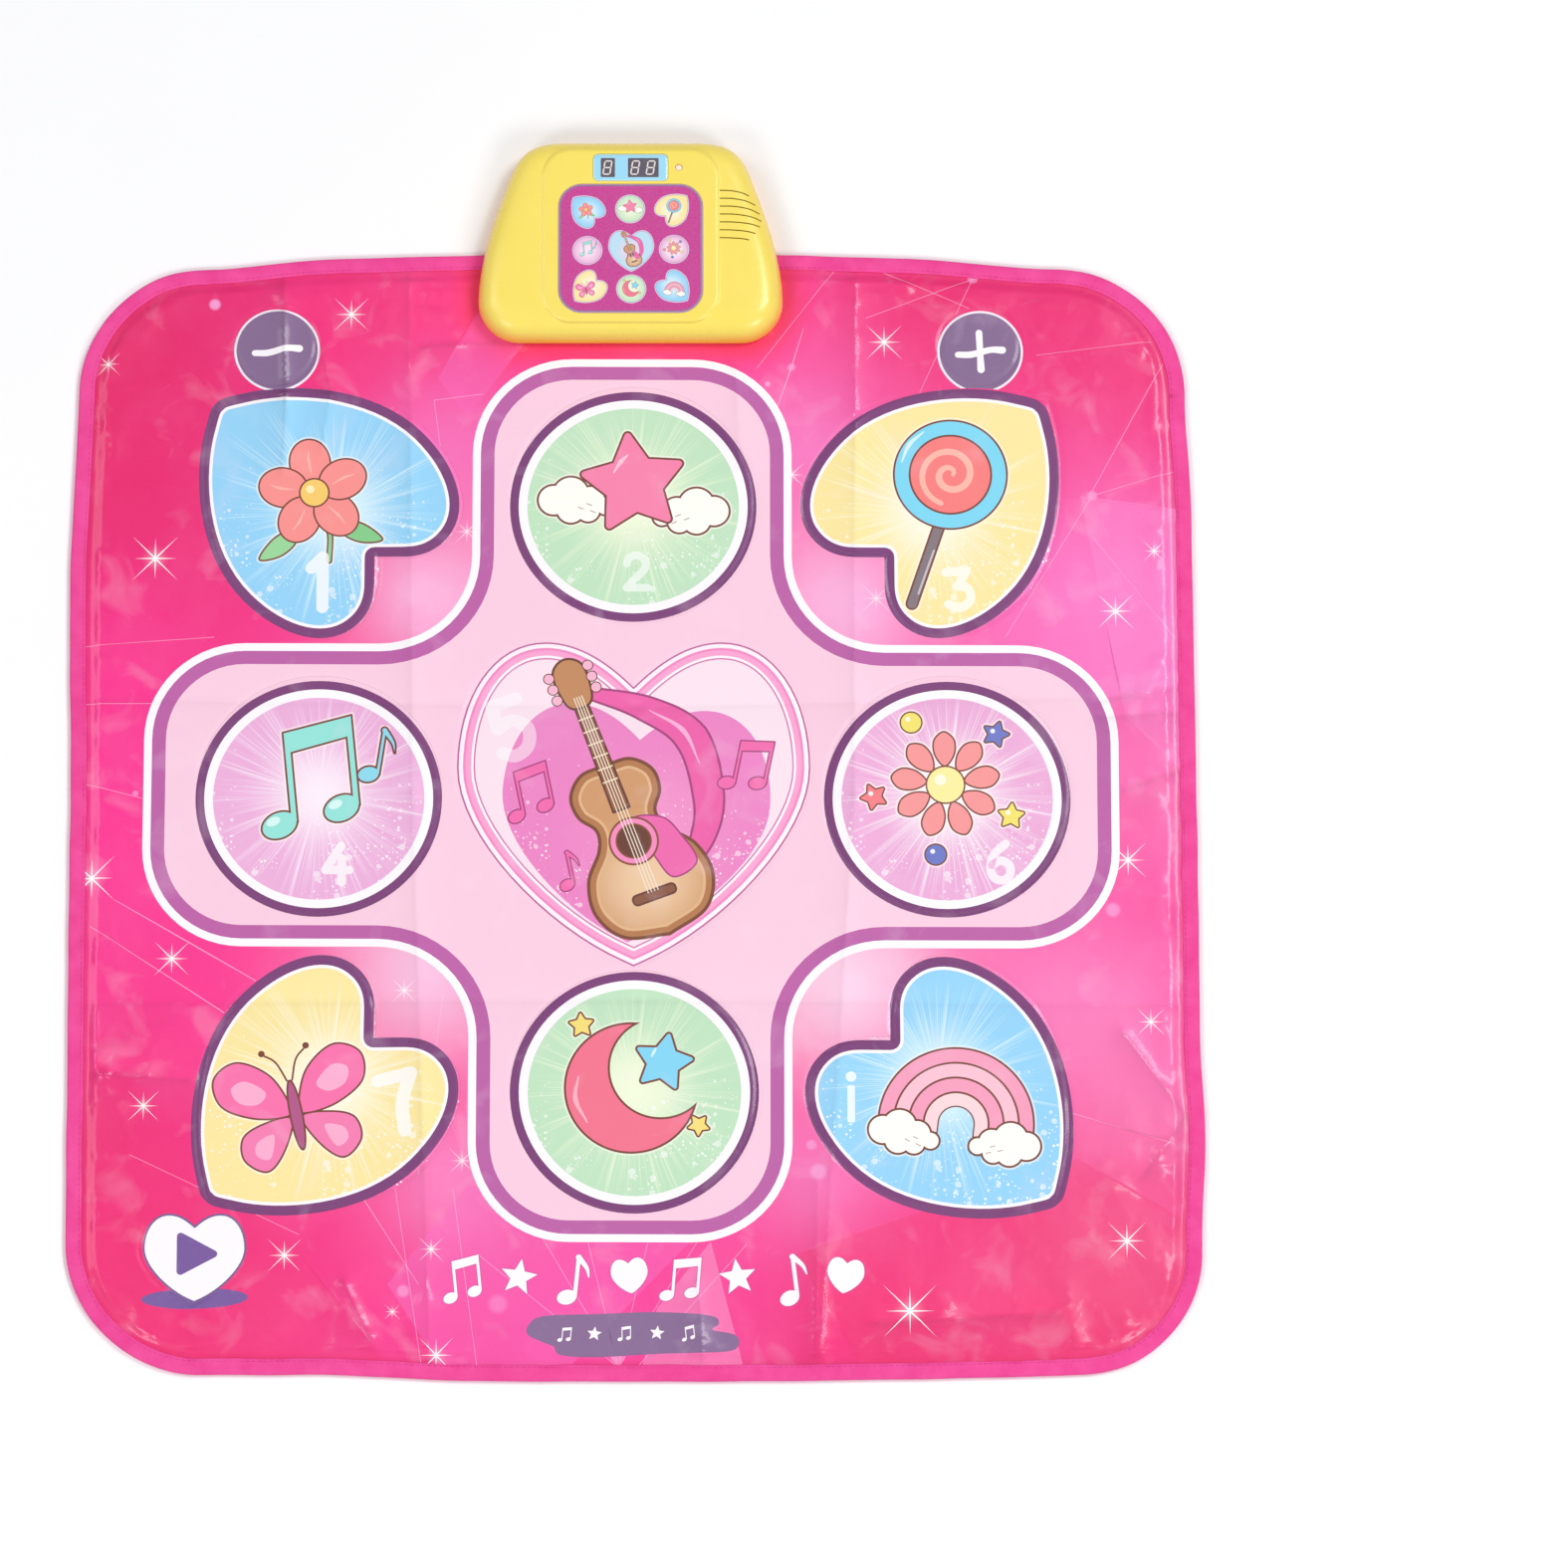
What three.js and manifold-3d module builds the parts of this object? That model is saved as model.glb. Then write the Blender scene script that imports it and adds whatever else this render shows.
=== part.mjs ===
// Electronic dance mat: a printed membrane mat with twelve zones that sink underfoot, and a
// moulded control box clamped on its far edge. Millimetres, +Z up, +Y towards the control box.
// The origin lies on the floor, under the middle of mat and box together.

import * as THREE from "three";
import { mergeVertices } from "three/addons/utils/BufferGeometryUtils.js";
import Module from "manifold-3d";

const wasm = await Module();
wasm.setup();

// Mat outline
const matWidth = 900;
const matLength = 930;
const cornerRadius = 85;
const farBow = 14;
const nearBow = 9;
const sideBow = 3;
const cornerSteps = 6;
const edgeSteps = 4;

// Sheets of the mat, from the floor up
const sheetGap = 0.3;
const baseThick = 1;
const filmThick = 0.4;
const inkThick = 0.15;
const spacerThick = 1.1;
const coverThick = 2.2;
const innerMargin = 30;

// Hem
const tapeWidth = 13;
const tapeThick = 0.8;
const tapeLipThick = 0.6;
const tapeRound = 0.5;
const hemBaseThick = 0.7;
const hemCoverThick = 1.7;
const hemBaseRise = 1.3;
const shoulderWidth = 13;

// Zones that are stepped on: a field of three by three, and three keys outside it
const zoneClearance = 0.3;
const contactInset = 2;
const inkShare = 0.3;
const inkSteps = 12;
const fieldSideMargin = 101;
const fieldFarMargin = 114;
const fieldNearMargin = 136;
const fieldRows = 3;
const columnGap = 55;
const rowGap = 46;
const middleHeartSideGap = 12;
const middleHeartFarGap = 18;
const middleHeartTipGap = 3;
const keyDiameter = 65;
const keyFieldGap = 2.5;
const minusSideMargin = 161;
const plusSideMargin = 170;
const startHalfWidth = 41;
const startHeight = 72;
const startSideMargin = 102;
const startFieldGap = 2;
const circleSteps = 24;
const keySteps = 16;
const cellSteps = 12;
const heartSteps = 4;

// A corner heart's half width and height, and how far its notch lies in from the middle of its
// place in the field, as shares of a circle's diameter
const cornerHeartHalfShare = 0.515;
const cornerHeartHeightShare = 1.092;
const cornerHeartInShares = [0.235, 0.22];

// Half a heart, from its notch to its tip, as shares of its half width and its height
const heartNotchShare = 0.14;
const heartCurveShares = [
  [[0.13, 0.07], [0.3, 0.14], [0.5, 0.14]],
  [[0.8, 0.14], [1, -0.03], [1, -0.25]],
  [[1, -0.46], [0.5, -0.74], [0.06, -0.845]],
];

// Printed circuit
const traceWidth = 4;
const tailWidth = 36;
const tailReach = 14;
const stiffenerThick = 0.9;
const stiffenerLength = 9;

// Control box outline
const boxMiddleX = -2.5;
const boxGrip = 78.2;
const boxLength = 168.2;
const boxFrontHalf = 123;
const boxRearHalf = 98;
const boxBackEdgeHalf = 55;
const boxFrontCorner = 34;
const boxRearCorner = 30;
const boxCornerShare = 0.55;
const boxHandleShare = 0.33;
const boxCurveSteps = 6;

// Control box shells
const wall = 2.2;
const boxHeight = 33.6;
const edgeRound = 24;
const floorThick = 2.2;
const clampWidth = 12;
const clampClearance = 0.5;
const ringThick = 1.8;
const shellInset = 0.45;
const partingGap = 0.3;
const raisedHeight = 1.4;
const raisedWidth = 144;
const raisedLength = 147;
const raisedFrontMargin = 11.2;
const raisedCorner = 24;
const raisedSlope = 3;
const raisedSkirt = 5;
const raisedSteps = 5;
const overrun = 2;

// The crown's section: how far in and how high, as shares of edgeRound and of the wall's rise
const crownShares = [
  [0.04, 0], [0, 0.2], [0.05, 0.48], [0.16, 0.7], [0.36, 0.87], [0.64, 0.97], [1, 1],
];

// Display, label and light
const lensWidth = 60.2;
const lensLength = 22.5;
const lensCorner = 4;
const lensThick = 1.2;
const lensLabelGap = 3;
const lensLedge = 1.8;
const lensSteps = 3;
const digitLength = 15.2;
const digitWidth = 11.6;
const doubleDigitWidth = 25;
const digitOffset = -18.4;
const doubleDigitOffset = 10.3;
const digitHeight = 7;
const digitDrop = 1.2;
const digitGroove = 0.6;
const digitBarWidth = 1.75;
const figureWidthShare = 0.62;
const figureLengthShare = 0.8;
const labelWidth = 116.6;
const labelLength = 109;
const labelCorner = 19;
const labelSteps = 5;
const labelThick = 0.5;
const labelFrontMargin = 7.4;
const labelRecess = 0.8;
const lightDiameter = 6;
const lightLensGap = 6;

// The status light's domed end, as [radius, drop] shares of its radius
const domeShares = [[1, 0.6], [0.8, 0.2], [0.4, 0]];

// Loudspeaker and its slots
const speakerSideMargin = 9;
const speakerReach = 106.3;
const speakerDiameter = 32;
const speakerSteps = 16;
const speakerRimThick = 1.6;
const speakerDepth = 12;
const magnetDiameter = 18;
const basketDiameter = 26;
const magnetHeightShare = 0.45;
const basketFootShare = 0.5;
const coneThick = 0.6;
const coneDrop = 4;
const dustCapDiameter = 9;
const dustCapShare = 0.6;
const collarThick = 1.6;
const collarDepth = 7;
const slotWidth = 1.5;
const slotPitch = 6.7;
const slotLead = 13;
const slotShortest = 20;
const slotBulge = 13;
const slotCount = 7;
const slotEndSteps = 2;

// Boards and what joins them
const boardThick = 1.6;
const displayBoardMargin = 4;
const displayBoardLength = 28;
const boardPostDiameter = 5;
const mainBoardWidth = 86;
const mainBoardLength = 40;
const chipSize = 12;
const chipHeight = 1.5;
const capDiameter = 6.3;
const capHeight = 7;
const socketWidth = 14;
const socketLength = 5;
const socketHeight = 4;
const leadWidth = 12;
const leadThick = 0.8;
const leadOffset = 18.5;
const leadEndShare = 0.17;
const clampBarWidth = 64;
const clampBarLength = 8;
const clampBarHeight = 5;
const clampScrewPitch = 52;

// Screws
const screwShank = 3;
const screwHead = 6;
const screwHeadHeight = 1.8;
const screwRecess = 0.6;
const screwSteps = 8;
const driveWidth = 1;
const driveDepthShare = 0.5;
const postDiameter = 8.5;
const bossRise = 5;
const screwLength = 15;
const postSideInset = 30;
const frontPostInset = 28;
const rearPostInset = 24;

// Batteries and their door
const cellDiameter = 14.2;
const cellLength = 49.2;
const cellNub = 1.3;
const cellNubDiameter = 5.5;
const cellShoulderShare = 0.9;
const cellGap = 0.8;
const cellCount = 3;
const bayOffset = -23.5;
const bayRearMargin = 44;
const bayEnd = 3.6;
const bayWall = 1.6;
const contactThick = 0.5;
const domeSteps = 8;
const doorTabWidth = 8;
const doorTabReach = 3;
const doorTabThick = 1.4;
const doorTabSpread = 38;
const doorScrewLug = 11;
const doorScrewLength = 6;
const doorScrewRecess = 0.3;
const doorScrewHeadHeight = 0.9;
const doorScrewClearance = 0.9;
const doorRibCount = 5;
const doorRibPitch = 4;
const doorRibDepth = 0.5;

// Power switch, in the rear wall
const switchEdgeInset = 6.5;
const switchRiseShare = 0.32;
const switchTravel = 4;
const switchBodyWidth = 17;
const switchBodyLength = 6;
const switchBodyHeight = 7;
const knobWidth = 4;
const knobHeight = 3;
const knobReach = 6;
const knobGroove = 0.9;
const knobGrooveWidth = 0.4;
const pocketDepth = 2;

// Heights, worked out from the thicknesses above
const baseTop = baseThick;
const lowerFilmLow = baseTop + sheetGap;
const lowerFilmTop = lowerFilmLow + filmThick;
const spacerLow = lowerFilmTop + sheetGap;
const spacerTop = spacerLow + spacerThick;
const upperFilmLow = spacerTop + sheetGap;
const upperFilmTop = upperFilmLow + filmThick;
const coverLow = upperFilmTop + sheetGap;
const coverTop = coverLow + coverThick;
const hemBaseTop = hemBaseRise + hemBaseThick;
const hemCoverLow = hemBaseTop + sheetGap;
const hemCoverTop = hemCoverLow + hemCoverThick;
const tapeTop = hemCoverTop + sheetGap + tapeLipThick;
const rimLow = coverTop + partingGap;
const bottomWallTop = rimLow - partingGap;
const crownTop = boxHeight - raisedHeight;
const crownUnder = crownTop - wall;
const cellAxis = floorThick + sheetGap + cellDiameter / 2;
const bayTop = cellAxis + cellDiameter / 2 + sheetGap;
const digitTop = boxHeight - lensThick - sheetGap * 2;
const digitLow = digitTop - digitHeight;
const displayBoardTop = digitLow - sheetGap;
const displayBoardLow = displayBoardTop - boardThick;
const mainBoardLow = floorThick + sheetGap;
const mainBoardTop = mainBoardLow + boardThick;
const clampBarTop = mainBoardTop + sheetGap + clampBarHeight;
const clampHoleTop = clampBarTop - wall / 2;
const clampScrewLength = clampHoleTop - sheetGap - screwRecess - screwHeadHeight;
const speakerTop = crownUnder - collarDepth;
const switchZ = rimLow + (crownTop - rimLow) * switchRiseShare;

// Places on the mat, worked out from its edges
const fieldWidth = matWidth - fieldSideMargin * 2;
const fieldLength = matLength - fieldFarMargin - fieldNearMargin;
const fieldFar = matLength / 2 - fieldFarMargin;
const fieldNear = fieldFar - fieldLength;
const fieldMiddleY = (fieldFar + fieldNear) / 2;
const circleDiameter = Math.min(
  (fieldWidth - columnGap * (fieldRows - 1)) / fieldRows,
  (fieldLength - rowGap * (fieldRows - 1)) / fieldRows,
);
const circlePitchX = (fieldWidth - circleDiameter) / (fieldRows - 1);
const circlePitchY = (fieldLength - circleDiameter) / (fieldRows - 1);
const heartHalfWidth = circleDiameter * cornerHeartHalfShare;
const heartHeight = circleDiameter * cornerHeartHeightShare;
const heartNotchX = circlePitchX - circleDiameter * cornerHeartInShares[0];
const heartNotchY = circlePitchY - circleDiameter * cornerHeartInShares[1];
const middleHeartHalfWidth = circlePitchX - circleDiameter / 2 - middleHeartSideGap;
const middleHeartTop = fieldMiddleY + circlePitchY - circleDiameter / 2 - middleHeartFarGap;
const middleHeartTip = fieldMiddleY - circlePitchY + circleDiameter / 2 + middleHeartTipGap;
const keyY = fieldFar + keyFieldGap + keyDiameter / 2;
const minusPlace = new THREE.Vector2(minusSideMargin - matWidth / 2, keyY);
const plusPlace = new THREE.Vector2(matWidth / 2 - plusSideMargin, keyY);
const startTop = new THREE.Vector2(startSideMargin - matWidth / 2, fieldNear - startFieldGap);

// Places in the control box, worked out from its outline
const matFarEdge = matLength / 2;
const boxFront = matFarEdge - boxGrip;
const boxRear = boxFront + boxLength;
const boxOverhang = boxRear - matFarEdge;
const tailY = boxFront + clampWidth + tailReach;
const mainBoardY = tailY + mainBoardLength / 2 - stiffenerLength;
const raisedFront = boxFront + raisedFrontMargin;
const labelMiddleY = raisedFront + labelFrontMargin + labelLength / 2;
const lensMiddleY = labelMiddleY + (labelLength + lensLength) / 2 + lensLabelGap;
const digitMiddleY = lensMiddleY - digitDrop;
const lightX = boxMiddleX + lensWidth / 2 + lightLensGap + lightDiameter / 2;
const displayBoardWidth = (lightX - boxMiddleX + displayBoardMargin) * 2;
const boxMeanHalf = (boxFrontHalf + boxRearHalf) / 2;
const speakerX = boxMiddleX + boxMeanHalf - speakerSideMargin - speakerDiameter / 2;
const speakerY = boxFront + speakerReach;
const leadX = boxMiddleX + leadOffset;
const leadMainY = mainBoardY + (mainBoardLength - socketLength) / 2;
const leadDisplayY = lensMiddleY - (displayBoardLength - socketLength) / 2;
const cellPitch = cellDiameter + cellGap;
const bayWidth = cellLength + cellNub + bayEnd * 2;
const bayLength = cellPitch * cellCount + sheetGap * 2;
const bayX = boxMiddleX + bayOffset;
const bayHigh = boxRear - bayRearMargin;
const bayLow = bayHigh - bayLength;
const bayY = (bayLow + bayHigh) / 2;
const doorScrewY = bayHigh + bayWall + doorScrewLug / 2;
const doorScrewBoreTop = doorScrewLength + floorThick + overrun;
const switchX = boxMiddleX + boxBackEdgeHalf - switchEdgeInset;
const switchFace = boxRear - pocketDepth - wall - sheetGap;

// Solids: closed meshes without normals, joined and cut as manifolds

function solid(geometry) {
  geometry.deleteAttribute("normal");
  geometry.deleteAttribute("uv");
  const merged = mergeVertices(geometry);
  return new wasm.Manifold(new wasm.Mesh({
    numProp: 3,
    vertProperties: new Float32Array(merged.attributes.position.array),
    triVerts: new Uint32Array(merged.index.array),
  }));
}

function geometryOf(manifold) {
  const mesh = manifold.getMesh();
  const geometry = new THREE.BufferGeometry();
  geometry.setAttribute("position", new THREE.BufferAttribute(mesh.vertProperties, 3));
  geometry.setIndex(new THREE.BufferAttribute(mesh.triVerts, 1));
  geometry.computeVertexNormals();
  return geometry;
}

function joined(parts) {
  return parts.reduce((whole, part) => whole.add(part));
}

// A straight wall over an outline, from one height to another
function prism(points, low, high) {
  const geometry = new THREE.ExtrudeGeometry(new THREE.Shape(points), {
    depth: high - low,
    bevelEnabled: false,
  });
  geometry.translate(0, 0, low);
  return solid(geometry);
}

// A skin over rings with the same number of points, closed flat at both ends
function loft(rings) {
  const count = rings[0].points.length;
  const positions = [];
  const indices = [];
  for (const ring of rings) {
    for (const point of ring.points) {
      positions.push(point.x, point.y, ring.z);
    }
  }
  for (let level = 0; level + 1 < rings.length; level += 1) {
    for (let i = 0; i < count; i += 1) {
      const next = (i + 1) % count;
      const a = level * count + i;
      const b = level * count + next;
      indices.push(a, b, b + count, a, b + count, a + count);
    }
  }
  for (const end of [0, rings.length - 1]) {
    const middle = middleOf(rings[end].points);
    const hub = positions.length / 3;
    positions.push(middle.x, middle.y, rings[end].z);
    for (let i = 0; i < count; i += 1) {
      const a = end * count + i;
      const b = end * count + (i + 1) % count;
      indices.push(hub, ...(end === 0 ? [b, a] : [a, b]));
    }
  }
  const geometry = new THREE.BufferGeometry();
  geometry.setAttribute("position", new THREE.Float32BufferAttribute(positions, 3));
  geometry.setIndex(indices);
  return solid(geometry);
}

function block(middleX, middleY, width, length, low, high) {
  const geometry = new THREE.BoxGeometry(width, length, high - low);
  geometry.translate(middleX, middleY, (low + high) / 2);
  return solid(geometry);
}

function rod(x, y, diameter, low, high, steps = screwSteps) {
  const geometry = new THREE.CylinderGeometry(diameter / 2, diameter / 2, high - low, steps);
  geometry.rotateX(Math.PI / 2);
  geometry.translate(x, y, (low + high) / 2);
  return solid(geometry);
}

// A turned piece standing at a place: its profile is a list of [radius, height]
function turned(x, y, profile, steps) {
  const geometry = new THREE.LatheGeometry(profile.map(([r, z]) => new THREE.Vector2(r, z)), steps);
  geometry.rotateX(Math.PI / 2);
  geometry.translate(x, y, 0);
  return solid(geometry);
}

// Outlines: lists of points, anticlockwise seen from above

function middleOf(points) {
  const sum = points.reduce((total, point) => total.add(point), new THREE.Vector2());
  return sum.divideScalar(points.length);
}

const sharpestMiterShare = 0.5;

// The outline moved outwards, or inwards where the distance is negative
function grown(points, distance) {
  return points.map((point, i) => {
    const before = points[(i + points.length - 1) % points.length];
    const after = points[(i + 1) % points.length];
    const into = point.clone().sub(before).normalize();
    const out = after.clone().sub(point).normalize();
    const bisector = into.clone().add(out).normalize();
    const outward = new THREE.Vector2(bisector.y, -bisector.x);
    const miter = Math.max(bisector.dot(into), sharpestMiterShare);
    return point.clone().addScaledVector(outward, distance / miter);
  });
}

// A rounded rectangle whose sides swell at their middles
function matOutline(inset) {
  const halfWidth = matWidth / 2;
  const halfLength = matLength / 2;
  const radius = cornerRadius - inset;
  const corners = [[1, -1], [1, 1], [-1, 1], [-1, -1]];
  const points = [];
  corners.forEach(([sideX, sideY], corner) => {
    const centreX = sideX * (halfWidth - cornerRadius);
    const centreY = sideY * (halfLength - cornerRadius);
    for (let step = 0; step <= cornerSteps; step += 1) {
      const angle = (corner - 1 + step / cornerSteps) * Math.PI / 2;
      points.push(new THREE.Vector2(
        centreX + Math.cos(angle) * radius,
        centreY + Math.sin(angle) * radius,
      ));
    }
    const last = points[points.length - 1];
    const [nextX, nextY] = corners[(corner + 1) % corners.length];
    const nextAngle = corner * Math.PI / 2;
    const next = new THREE.Vector2(
      nextX * (halfWidth - cornerRadius) + Math.cos(nextAngle) * radius,
      nextY * (halfLength - cornerRadius) + Math.sin(nextAngle) * radius,
    );
    for (let step = 1; step < edgeSteps; step += 1) {
      points.push(last.clone().lerp(next, step / edgeSteps));
    }
  });
  return points.map((point) => swollen(point, halfWidth, halfLength));
}

function swollen(point, halfWidth, halfLength) {
  const acrossShare = point.x / halfWidth;
  const alongShare = point.y / halfLength;
  const endBow = point.y > 0 ? farBow : nearBow;
  return new THREE.Vector2(
    point.x - sideBow * acrossShare * alongShare ** 2,
    point.y - endBow * alongShare * acrossShare ** 2,
  );
}

function circleOutline(x, y, diameter, steps = circleSteps) {
  return Array.from({ length: steps }, (_, i) => {
    const angle = i / steps * Math.PI * 2;
    return new THREE.Vector2(x + Math.cos(angle) * diameter / 2, y + Math.sin(angle) * diameter / 2);
  });
}

// A heart with its notch at a place, its tip turned clockwise from straight down
function heartOutline(notch, halfWidth, height, turn) {
  const half = new THREE.Path();
  half.moveTo(0, 0);
  for (const curve of heartCurveShares) {
    half.bezierCurveTo(...curve.flatMap(([across, up]) => [across * halfWidth, up * height]));
  }
  const right = half.getPoints(heartSteps);
  const tip = new THREE.Vector2(0, -(1 - heartNotchShare) * height);
  const left = right.slice(1).map((point) => new THREE.Vector2(-point.x, point.y));
  const outline = [right[0], ...left, tip, ...right.slice(1).reverse()];
  return outline.map((point) => point.rotateAround(new THREE.Vector2(), -turn).add(notch));
}

function roundedOutline(x, y, width, length, radius, steps) {
  const points = [];
  [[1, -1], [1, 1], [-1, 1], [-1, -1]].forEach(([sideX, sideY], corner) => {
    for (let step = 0; step <= steps; step += 1) {
      const angle = (corner - 1 + step / steps) * Math.PI / 2;
      points.push(new THREE.Vector2(
        x + sideX * (width / 2 - radius) + Math.cos(angle) * radius,
        y + sideY * (length / 2 - radius) + Math.sin(angle) * radius,
      ));
    }
  });
  return points;
}

// The control box seen from above: a soft trapezoid, wide at the front
function boxOutline(inset) {
  const side = new THREE.Path();
  const frontTop = boxFront + boxFrontCorner;
  const rearLow = boxRear - boxRearCorner;
  const frontHandle = boxFrontCorner * boxCornerShare;
  const rearHandle = boxRearCorner * boxCornerShare;
  const run = (rearLow - frontTop) * boxHandleShare;
  const lean = (boxFrontHalf - boxRearHalf) / 2;
  side.moveTo(boxFrontHalf - boxFrontCorner, boxFront);
  side.bezierCurveTo(
    boxFrontHalf - boxFrontCorner + frontHandle, boxFront,
    boxFrontHalf, frontTop - frontHandle,
    boxFrontHalf, frontTop,
  );
  side.bezierCurveTo(
    boxFrontHalf, frontTop + run,
    boxRearHalf + lean, rearLow - run,
    boxRearHalf, rearLow,
  );
  side.bezierCurveTo(
    boxRearHalf - lean / 2, rearLow + rearHandle,
    boxBackEdgeHalf + boxRearCorner, boxRear,
    boxBackEdgeHalf, boxRear,
  );
  const right = side.getPoints(boxCurveSteps);
  const left = right.map((point) => new THREE.Vector2(-point.x, point.y)).reverse();
  const whole = [...right, ...left].map((point) => point.add(new THREE.Vector2(boxMiddleX, 0)));
  return grown(whole, -inset);
}

// The zones: what is stepped on, each with its outline

function cornerHeart(sideX, sideY) {
  const notch = new THREE.Vector2(sideX * heartNotchX, fieldMiddleY + sideY * heartNotchY);
  const turn = Math.atan2(-sideX, -sideY);
  return heartOutline(notch, heartHalfWidth, heartHeight, turn);
}

function padCircle(stepX, stepY) {
  return circleOutline(stepX * circlePitchX, fieldMiddleY + stepY * circlePitchY, circleDiameter);
}

function uprightHeart(x, top, halfWidth, height) {
  return heartOutline(new THREE.Vector2(x, top - heartNotchShare * height), halfWidth, height, 0);
}

const zones = [
  { name: "pad_1", color: "#6db9ee", outline: cornerHeart(-1, 1) },
  { name: "pad_2", color: "#96d39a", outline: padCircle(0, 1) },
  { name: "pad_3", color: "#fbe28c", outline: cornerHeart(1, 1) },
  { name: "pad_4", color: "#e6a1de", outline: padCircle(-1, 0) },
  {
    name: "pad_5",
    color: "#f9c4de",
    outline: uprightHeart(0, middleHeartTop, middleHeartHalfWidth, middleHeartTop - middleHeartTip),
  },
  { name: "pad_6", color: "#e6a1de", outline: padCircle(1, 0) },
  { name: "pad_7", color: "#fbe28c", outline: cornerHeart(-1, -1) },
  { name: "pad_8", color: "#6db9ee", outline: cornerHeart(1, -1) },
  { name: "pad_9", color: "#96d39a", outline: padCircle(0, -1) },
  {
    name: "key_minus",
    color: "#7d6a92",
    outline: circleOutline(minusPlace.x, minusPlace.y, keyDiameter, keySteps),
  },
  {
    name: "key_plus",
    color: "#7d6a92",
    outline: circleOutline(plusPlace.x, plusPlace.y, keyDiameter, keySteps),
  },
  {
    name: "key_start",
    color: "#fdf7fb",
    outline: uprightHeart(startTop.x, startTop.y, startHalfWidth, startHeight),
  },
];

// Sheets of the mat

function boxNotch(inset, low, high) {
  return prism(boxOutline(inset), low, high);
}

// The sheets above the box's flange stop short of the wall inside it
function withoutBox(sheet) {
  const aboveFlange = boxNotch(clampWidth - clampClearance, 0, coverTop + overrun);
  return sheet.subtract(aboveFlange);
}

function zoneCutters(low, high) {
  return joined(zones.map((zone) => prism(grown(zone.outline, zoneClearance), low, high)));
}

function perforatedSheet(low, high) {
  const sheet = prism(matOutline(innerMargin), low, high);
  return withoutBox(sheet).subtract(zoneCutters(low - overrun, high + overrun));
}

function baseCover() {
  const tapeEdge = tapeWidth + sheetGap;
  const edge = tapeThick + sheetGap;
  const cover = loft([
    { points: matOutline(tapeEdge), z: 0 },
    { points: matOutline(tapeEdge), z: hemBaseRise },
    { points: matOutline(edge), z: hemBaseRise },
    { points: matOutline(edge), z: hemBaseTop },
    { points: matOutline(tapeEdge + hemBaseThick), z: hemBaseTop },
    { points: matOutline(tapeEdge + hemBaseTop), z: baseTop },
  ]);
  const flangeNotch = boxNotch(-clampClearance, -overrun, baseTop + sheetGap / 2);
  return withoutBox(cover).subtract(flangeNotch);
}

function topCover() {
  const edge = tapeThick + sheetGap;
  const shoulder = tapeWidth + shoulderWidth;
  const cover = loft([
    { points: matOutline(shoulder), z: coverLow },
    { points: matOutline(tapeWidth), z: hemCoverLow },
    { points: matOutline(edge), z: hemCoverLow },
    { points: matOutline(edge), z: hemCoverTop },
    { points: matOutline(tapeWidth), z: hemCoverTop },
    { points: matOutline(shoulder), z: coverTop },
  ]);
  return withoutBox(cover).subtract(zoneCutters(hemCoverLow, coverTop + overrun));
}

// The tape is folded round the hem: a lip below, a wall outside and a lip above
function edgeBinding() {
  const section = [
    [tapeRound, 0], [tapeWidth, 0], [tapeWidth, tapeLipThick], [tapeThick, tapeLipThick],
    [tapeThick, tapeTop - tapeLipThick], [tapeWidth, tapeTop - tapeLipThick], [tapeWidth, tapeTop],
    [tapeRound, tapeTop], [0, tapeTop / 2],
  ];
  const rings = section.map(([inset, z]) => ({ points: matOutline(inset), z }));
  const band = ringBand(rings);
  const flangeNotch = boxNotch(-clampClearance, -overrun, baseTop + sheetGap / 2);
  return withoutBox(band).subtract(flangeNotch);
}

// A skin over rings that close on themselves, like the surface of a bangle
function ringBand(rings) {
  const count = rings[0].points.length;
  const positions = rings.flatMap((ring) => ring.points.flatMap((point) => [point.x, point.y, ring.z]));
  const indices = [];
  for (let level = 0; level < rings.length; level += 1) {
    const above = (level + 1) % rings.length;
    for (let i = 0; i < count; i += 1) {
      const next = (i + 1) % count;
      const a = level * count + i;
      const b = level * count + next;
      const c = above * count + next;
      const d = above * count + i;
      indices.push(a, c, b, a, d, c);
    }
  }
  const geometry = new THREE.BufferGeometry();
  geometry.setAttribute("position", new THREE.Float32BufferAttribute(positions, 3));
  geometry.setIndex(indices);
  return solid(geometry);
}

const inkTop = lowerFilmTop + inkThick;
const inkLow = lowerFilmTop - filmThick / 2;

// A round printed contact under the middle of a zone
function inkContact(outline) {
  const middle = middleOf(outline);
  const reach = Math.max(...outline.map((point) => point.distanceTo(middle)));
  return rod(middle.x, middle.y, reach * inkShare * 2, inkLow, inkTop, inkSteps);
}

// A printed trace along the mat, from one height of the field to another
function trace(x, fromY, toY) {
  return block(x, (fromY + toY) / 2, traceWidth, Math.abs(toY - fromY), inkLow, inkTop);
}

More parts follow.
